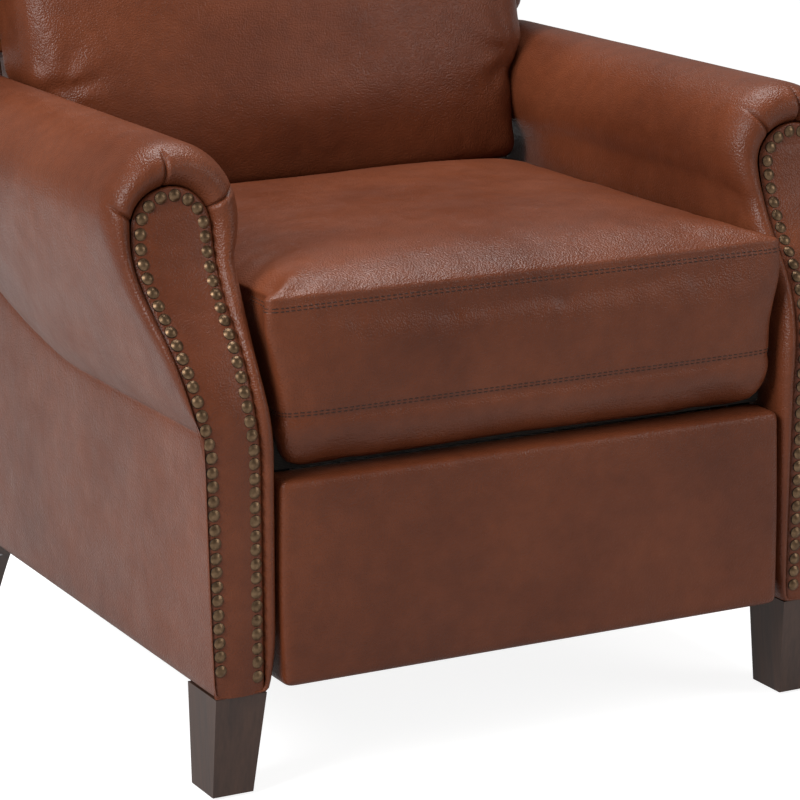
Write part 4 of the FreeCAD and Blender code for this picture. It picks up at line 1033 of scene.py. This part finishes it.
def footrest():
    """The pad of the footrest, open behind for its board."""
    low, top, deep = 107.0, 303.0, 47.0
    xs = steps(-1, 1, 50, 0.6)
    ys = steps(0, 1, 9, 0.5)
    zs = steps(low, top, 26, 0.6)
    grid, faces, places = block(xs, ys, zs)
    half = 266.0 + 1.5 * np.sin(math.pi * (grid[:, 2] - low) / (top - low))
    solid = np.stack([grid[:, 0] * half, grid[:, 1] * deep, grid[:, 2]], 1)
    count = len(half)
    solid = rounded(solid, np.stack([-half, np.zeros(count), np.full(count, low)], 1),
                    np.stack([half, np.full(count, deep), np.full(count, top)], 1), 8.0)
    rear = places[:, 1] == len(ys) - 1
    pocket = rear & (np.abs(solid[:, 0]) < 256.0) & (solid[:, 2] > 115.5) & (solid[:, 2] < 294.5)
    share = 1 - np.abs(grid[:, 0]) ** 3
    rise = np.sin(np.pi * (solid[:, 2] - low) / (top - low))
    solid[:, 1] -= 3.0 * share * rise * (places[:, 1] == 0)
    solid[:, 1] = np.where(pocket, 20.6, solid[:, 1])
    points = solid + (0, -10.0, 0)
    points[:, 1] += ripple(points, 120.0, 1.2, 21.0) * (places[:, 1] == 0)
    item = piece("footrest_leather", points, faces, "footrest", LEATHER,
                 ["footrest_pad"])


def rear_cover():
    """The leather panel that closes the base behind, a little puffed."""
    low, high = (-276.8, 644.0, 104.2), (276.8, 668.0, 298.0)
    grid, faces, places = block(steps(low[0], high[0], 40, 0.5), steps(low[1], high[1], 5, 0.3),
                                steps(low[2], high[2], 20, 0.6))
    points = rounded(grid, low, high, 4.0)
    puff = (1 - np.abs(points[:, 0] / 277) ** 6) * np.sin(np.pi * (points[:, 2] - 104) / 194)
    points[:, 1] += np.where(places[:, 1] == 4, 2.5 * puff, 0)
    piece("rear_panel_leather", points, faces, "base", LEATHER, ["rear_panel"])


def rail_cloth():
    """Dark cloth stretched over the front rail of the seat, behind the lip of the cushion."""
    low, high = (-262.0, 22.6, 306.0), (262.0, 24.7, 337.0)
    points, faces, places = block(steps(low[0], high[0], 30, 0.4), steps(low[1], high[1], 3, 0.0),
                                  steps(low[2], high[2], 6, 0.4))
    piece("front_rail_cloth", rounded(points, low, high, 0.9), faces, "seat", WEBBING)


footrest()
rear_cover()
rail_cloth()


# Materials of the CAD parts

finishes = {"frame_wood": RAW_WOOD, "leg_wood": LEG_WOOD, "mechanism_steel": ENAMEL,
            "bright_steel": ZINC, "nylon": NYLON, "webbing": WEBBING, "leather": LEATHER,
            "nail_brass": BRASS}
slots = {part["node"]: part["material_slot"] for part in frame["record"]["subparts"]}
for node, item in frame["nodes"].items():
    material = finishes[slots[node]]
    if node.endswith("stile") or node.endswith("arm_frame"):
        material = POST_WOOD
    for index in range(len(item.material_slots)):
        item.material_slots[index].material = material


# Floor, light and picture settings

def stage_material():
    """A floor that the camera sees as white outside the shadow, and mirrors as pale grey."""
    nodes = Nodes("white_floor")
    tone = nodes.ramp(nodes.noise(2.0), [(0.3, (0.44, 0.44, 0.44)), (0.7, (0.46, 0.46, 0.46))])
    path = nodes.add("ShaderNodeLightPath")
    mirrored = nodes.sum(path.outputs["Is Glossy Ray"], path.outputs["Is Transmission Ray"],
                         "MAXIMUM")
    mirrored = nodes.sum(mirrored, 0.4, "MULTIPLY")
    seen = nodes.sum(path.outputs["Is Camera Ray"], mirrored, "MAXIMUM")
    nodes.join(nodes.sum(seen, 0.88, "MULTIPLY"), nodes.shader.inputs["Emission Strength"])
    nodes.shader.inputs["Emission Color"].default_value = (1.0, 1.0, 1.0, 1.0)
    return nodes.finish(tone, 0.9, None, Specular_IOR_Level=0.1)


def floor():
    """A wide square floor under the legs."""
    mesh = bpy.data.meshes.new("floor")
    far = 12.0
    mesh.from_pydata([(-far, -far, 0), (far, -far, 0), (far, far, 0), (-far, far, 0)], [],
                     [(0, 1, 2, 3)])
    mesh.materials.append(stage_material())
    item = bpy.data.objects.new("floor", mesh)
    bpy.context.scene.collection.objects.link(item)


def lamp(name, spot, target, size, power):
    """A soft rectangular lamp that faces its target, in metres and watts."""
    data = bpy.data.lights.new(name, "AREA")
    data.shape = "RECTANGLE"
    data.size, data.size_y = size
    data.energy = power
    item = bpy.data.objects.new(name, data)
    item.location = spot
    toward = Vector(target) - Vector(spot)
    item.rotation_euler = toward.to_track_quat("-Z", "Y").to_euler()
    bpy.context.scene.collection.objects.link(item)


def world():
    """Pale grey light from all round that the camera sees as white."""
    scene = bpy.context.scene
    scene.world = bpy.data.worlds.new("studio")
    scene.world.use_nodes = True
    tree = scene.world.node_tree
    tree.nodes.clear()
    path = tree.nodes.new("ShaderNodeLightPath")
    dim = tree.nodes.new("ShaderNodeBackground")
    dim.inputs["Color"].default_value = (1.0, 0.98, 0.96, 1)
    dim.inputs["Strength"].default_value = 0.24
    white = tree.nodes.new("ShaderNodeBackground")
    white.inputs["Color"].default_value = (1, 1, 1, 1)
    white.inputs["Strength"].default_value = 1.0
    blend = tree.nodes.new("ShaderNodeMixShader")
    output = tree.nodes.new("ShaderNodeOutputWorld")
    tree.links.new(path.outputs["Is Camera Ray"], blend.inputs[0])
    tree.links.new(dim.outputs[0], blend.inputs[1])
    tree.links.new(white.outputs[0], blend.inputs[2])
    tree.links.new(blend.outputs[0], output.inputs[0])


floor()
world()
lamp("key_lamp", (-2.7, -1.2, 2.2), (0.0, 0.0, 0.5), (1.4, 1.6), 99.0)
lamp("fill_lamp", (2.3, -2.4, 1.7), (0.0, 0.0, 0.45), (1.4, 1.8), 28.0)
lamp("top_lamp", (0.3, 0.5, 2.9), (0.0, -0.1, 0.5), (1.6, 1.2), 60.0)
bpy.context.scene.view_settings.view_transform = "Standard"
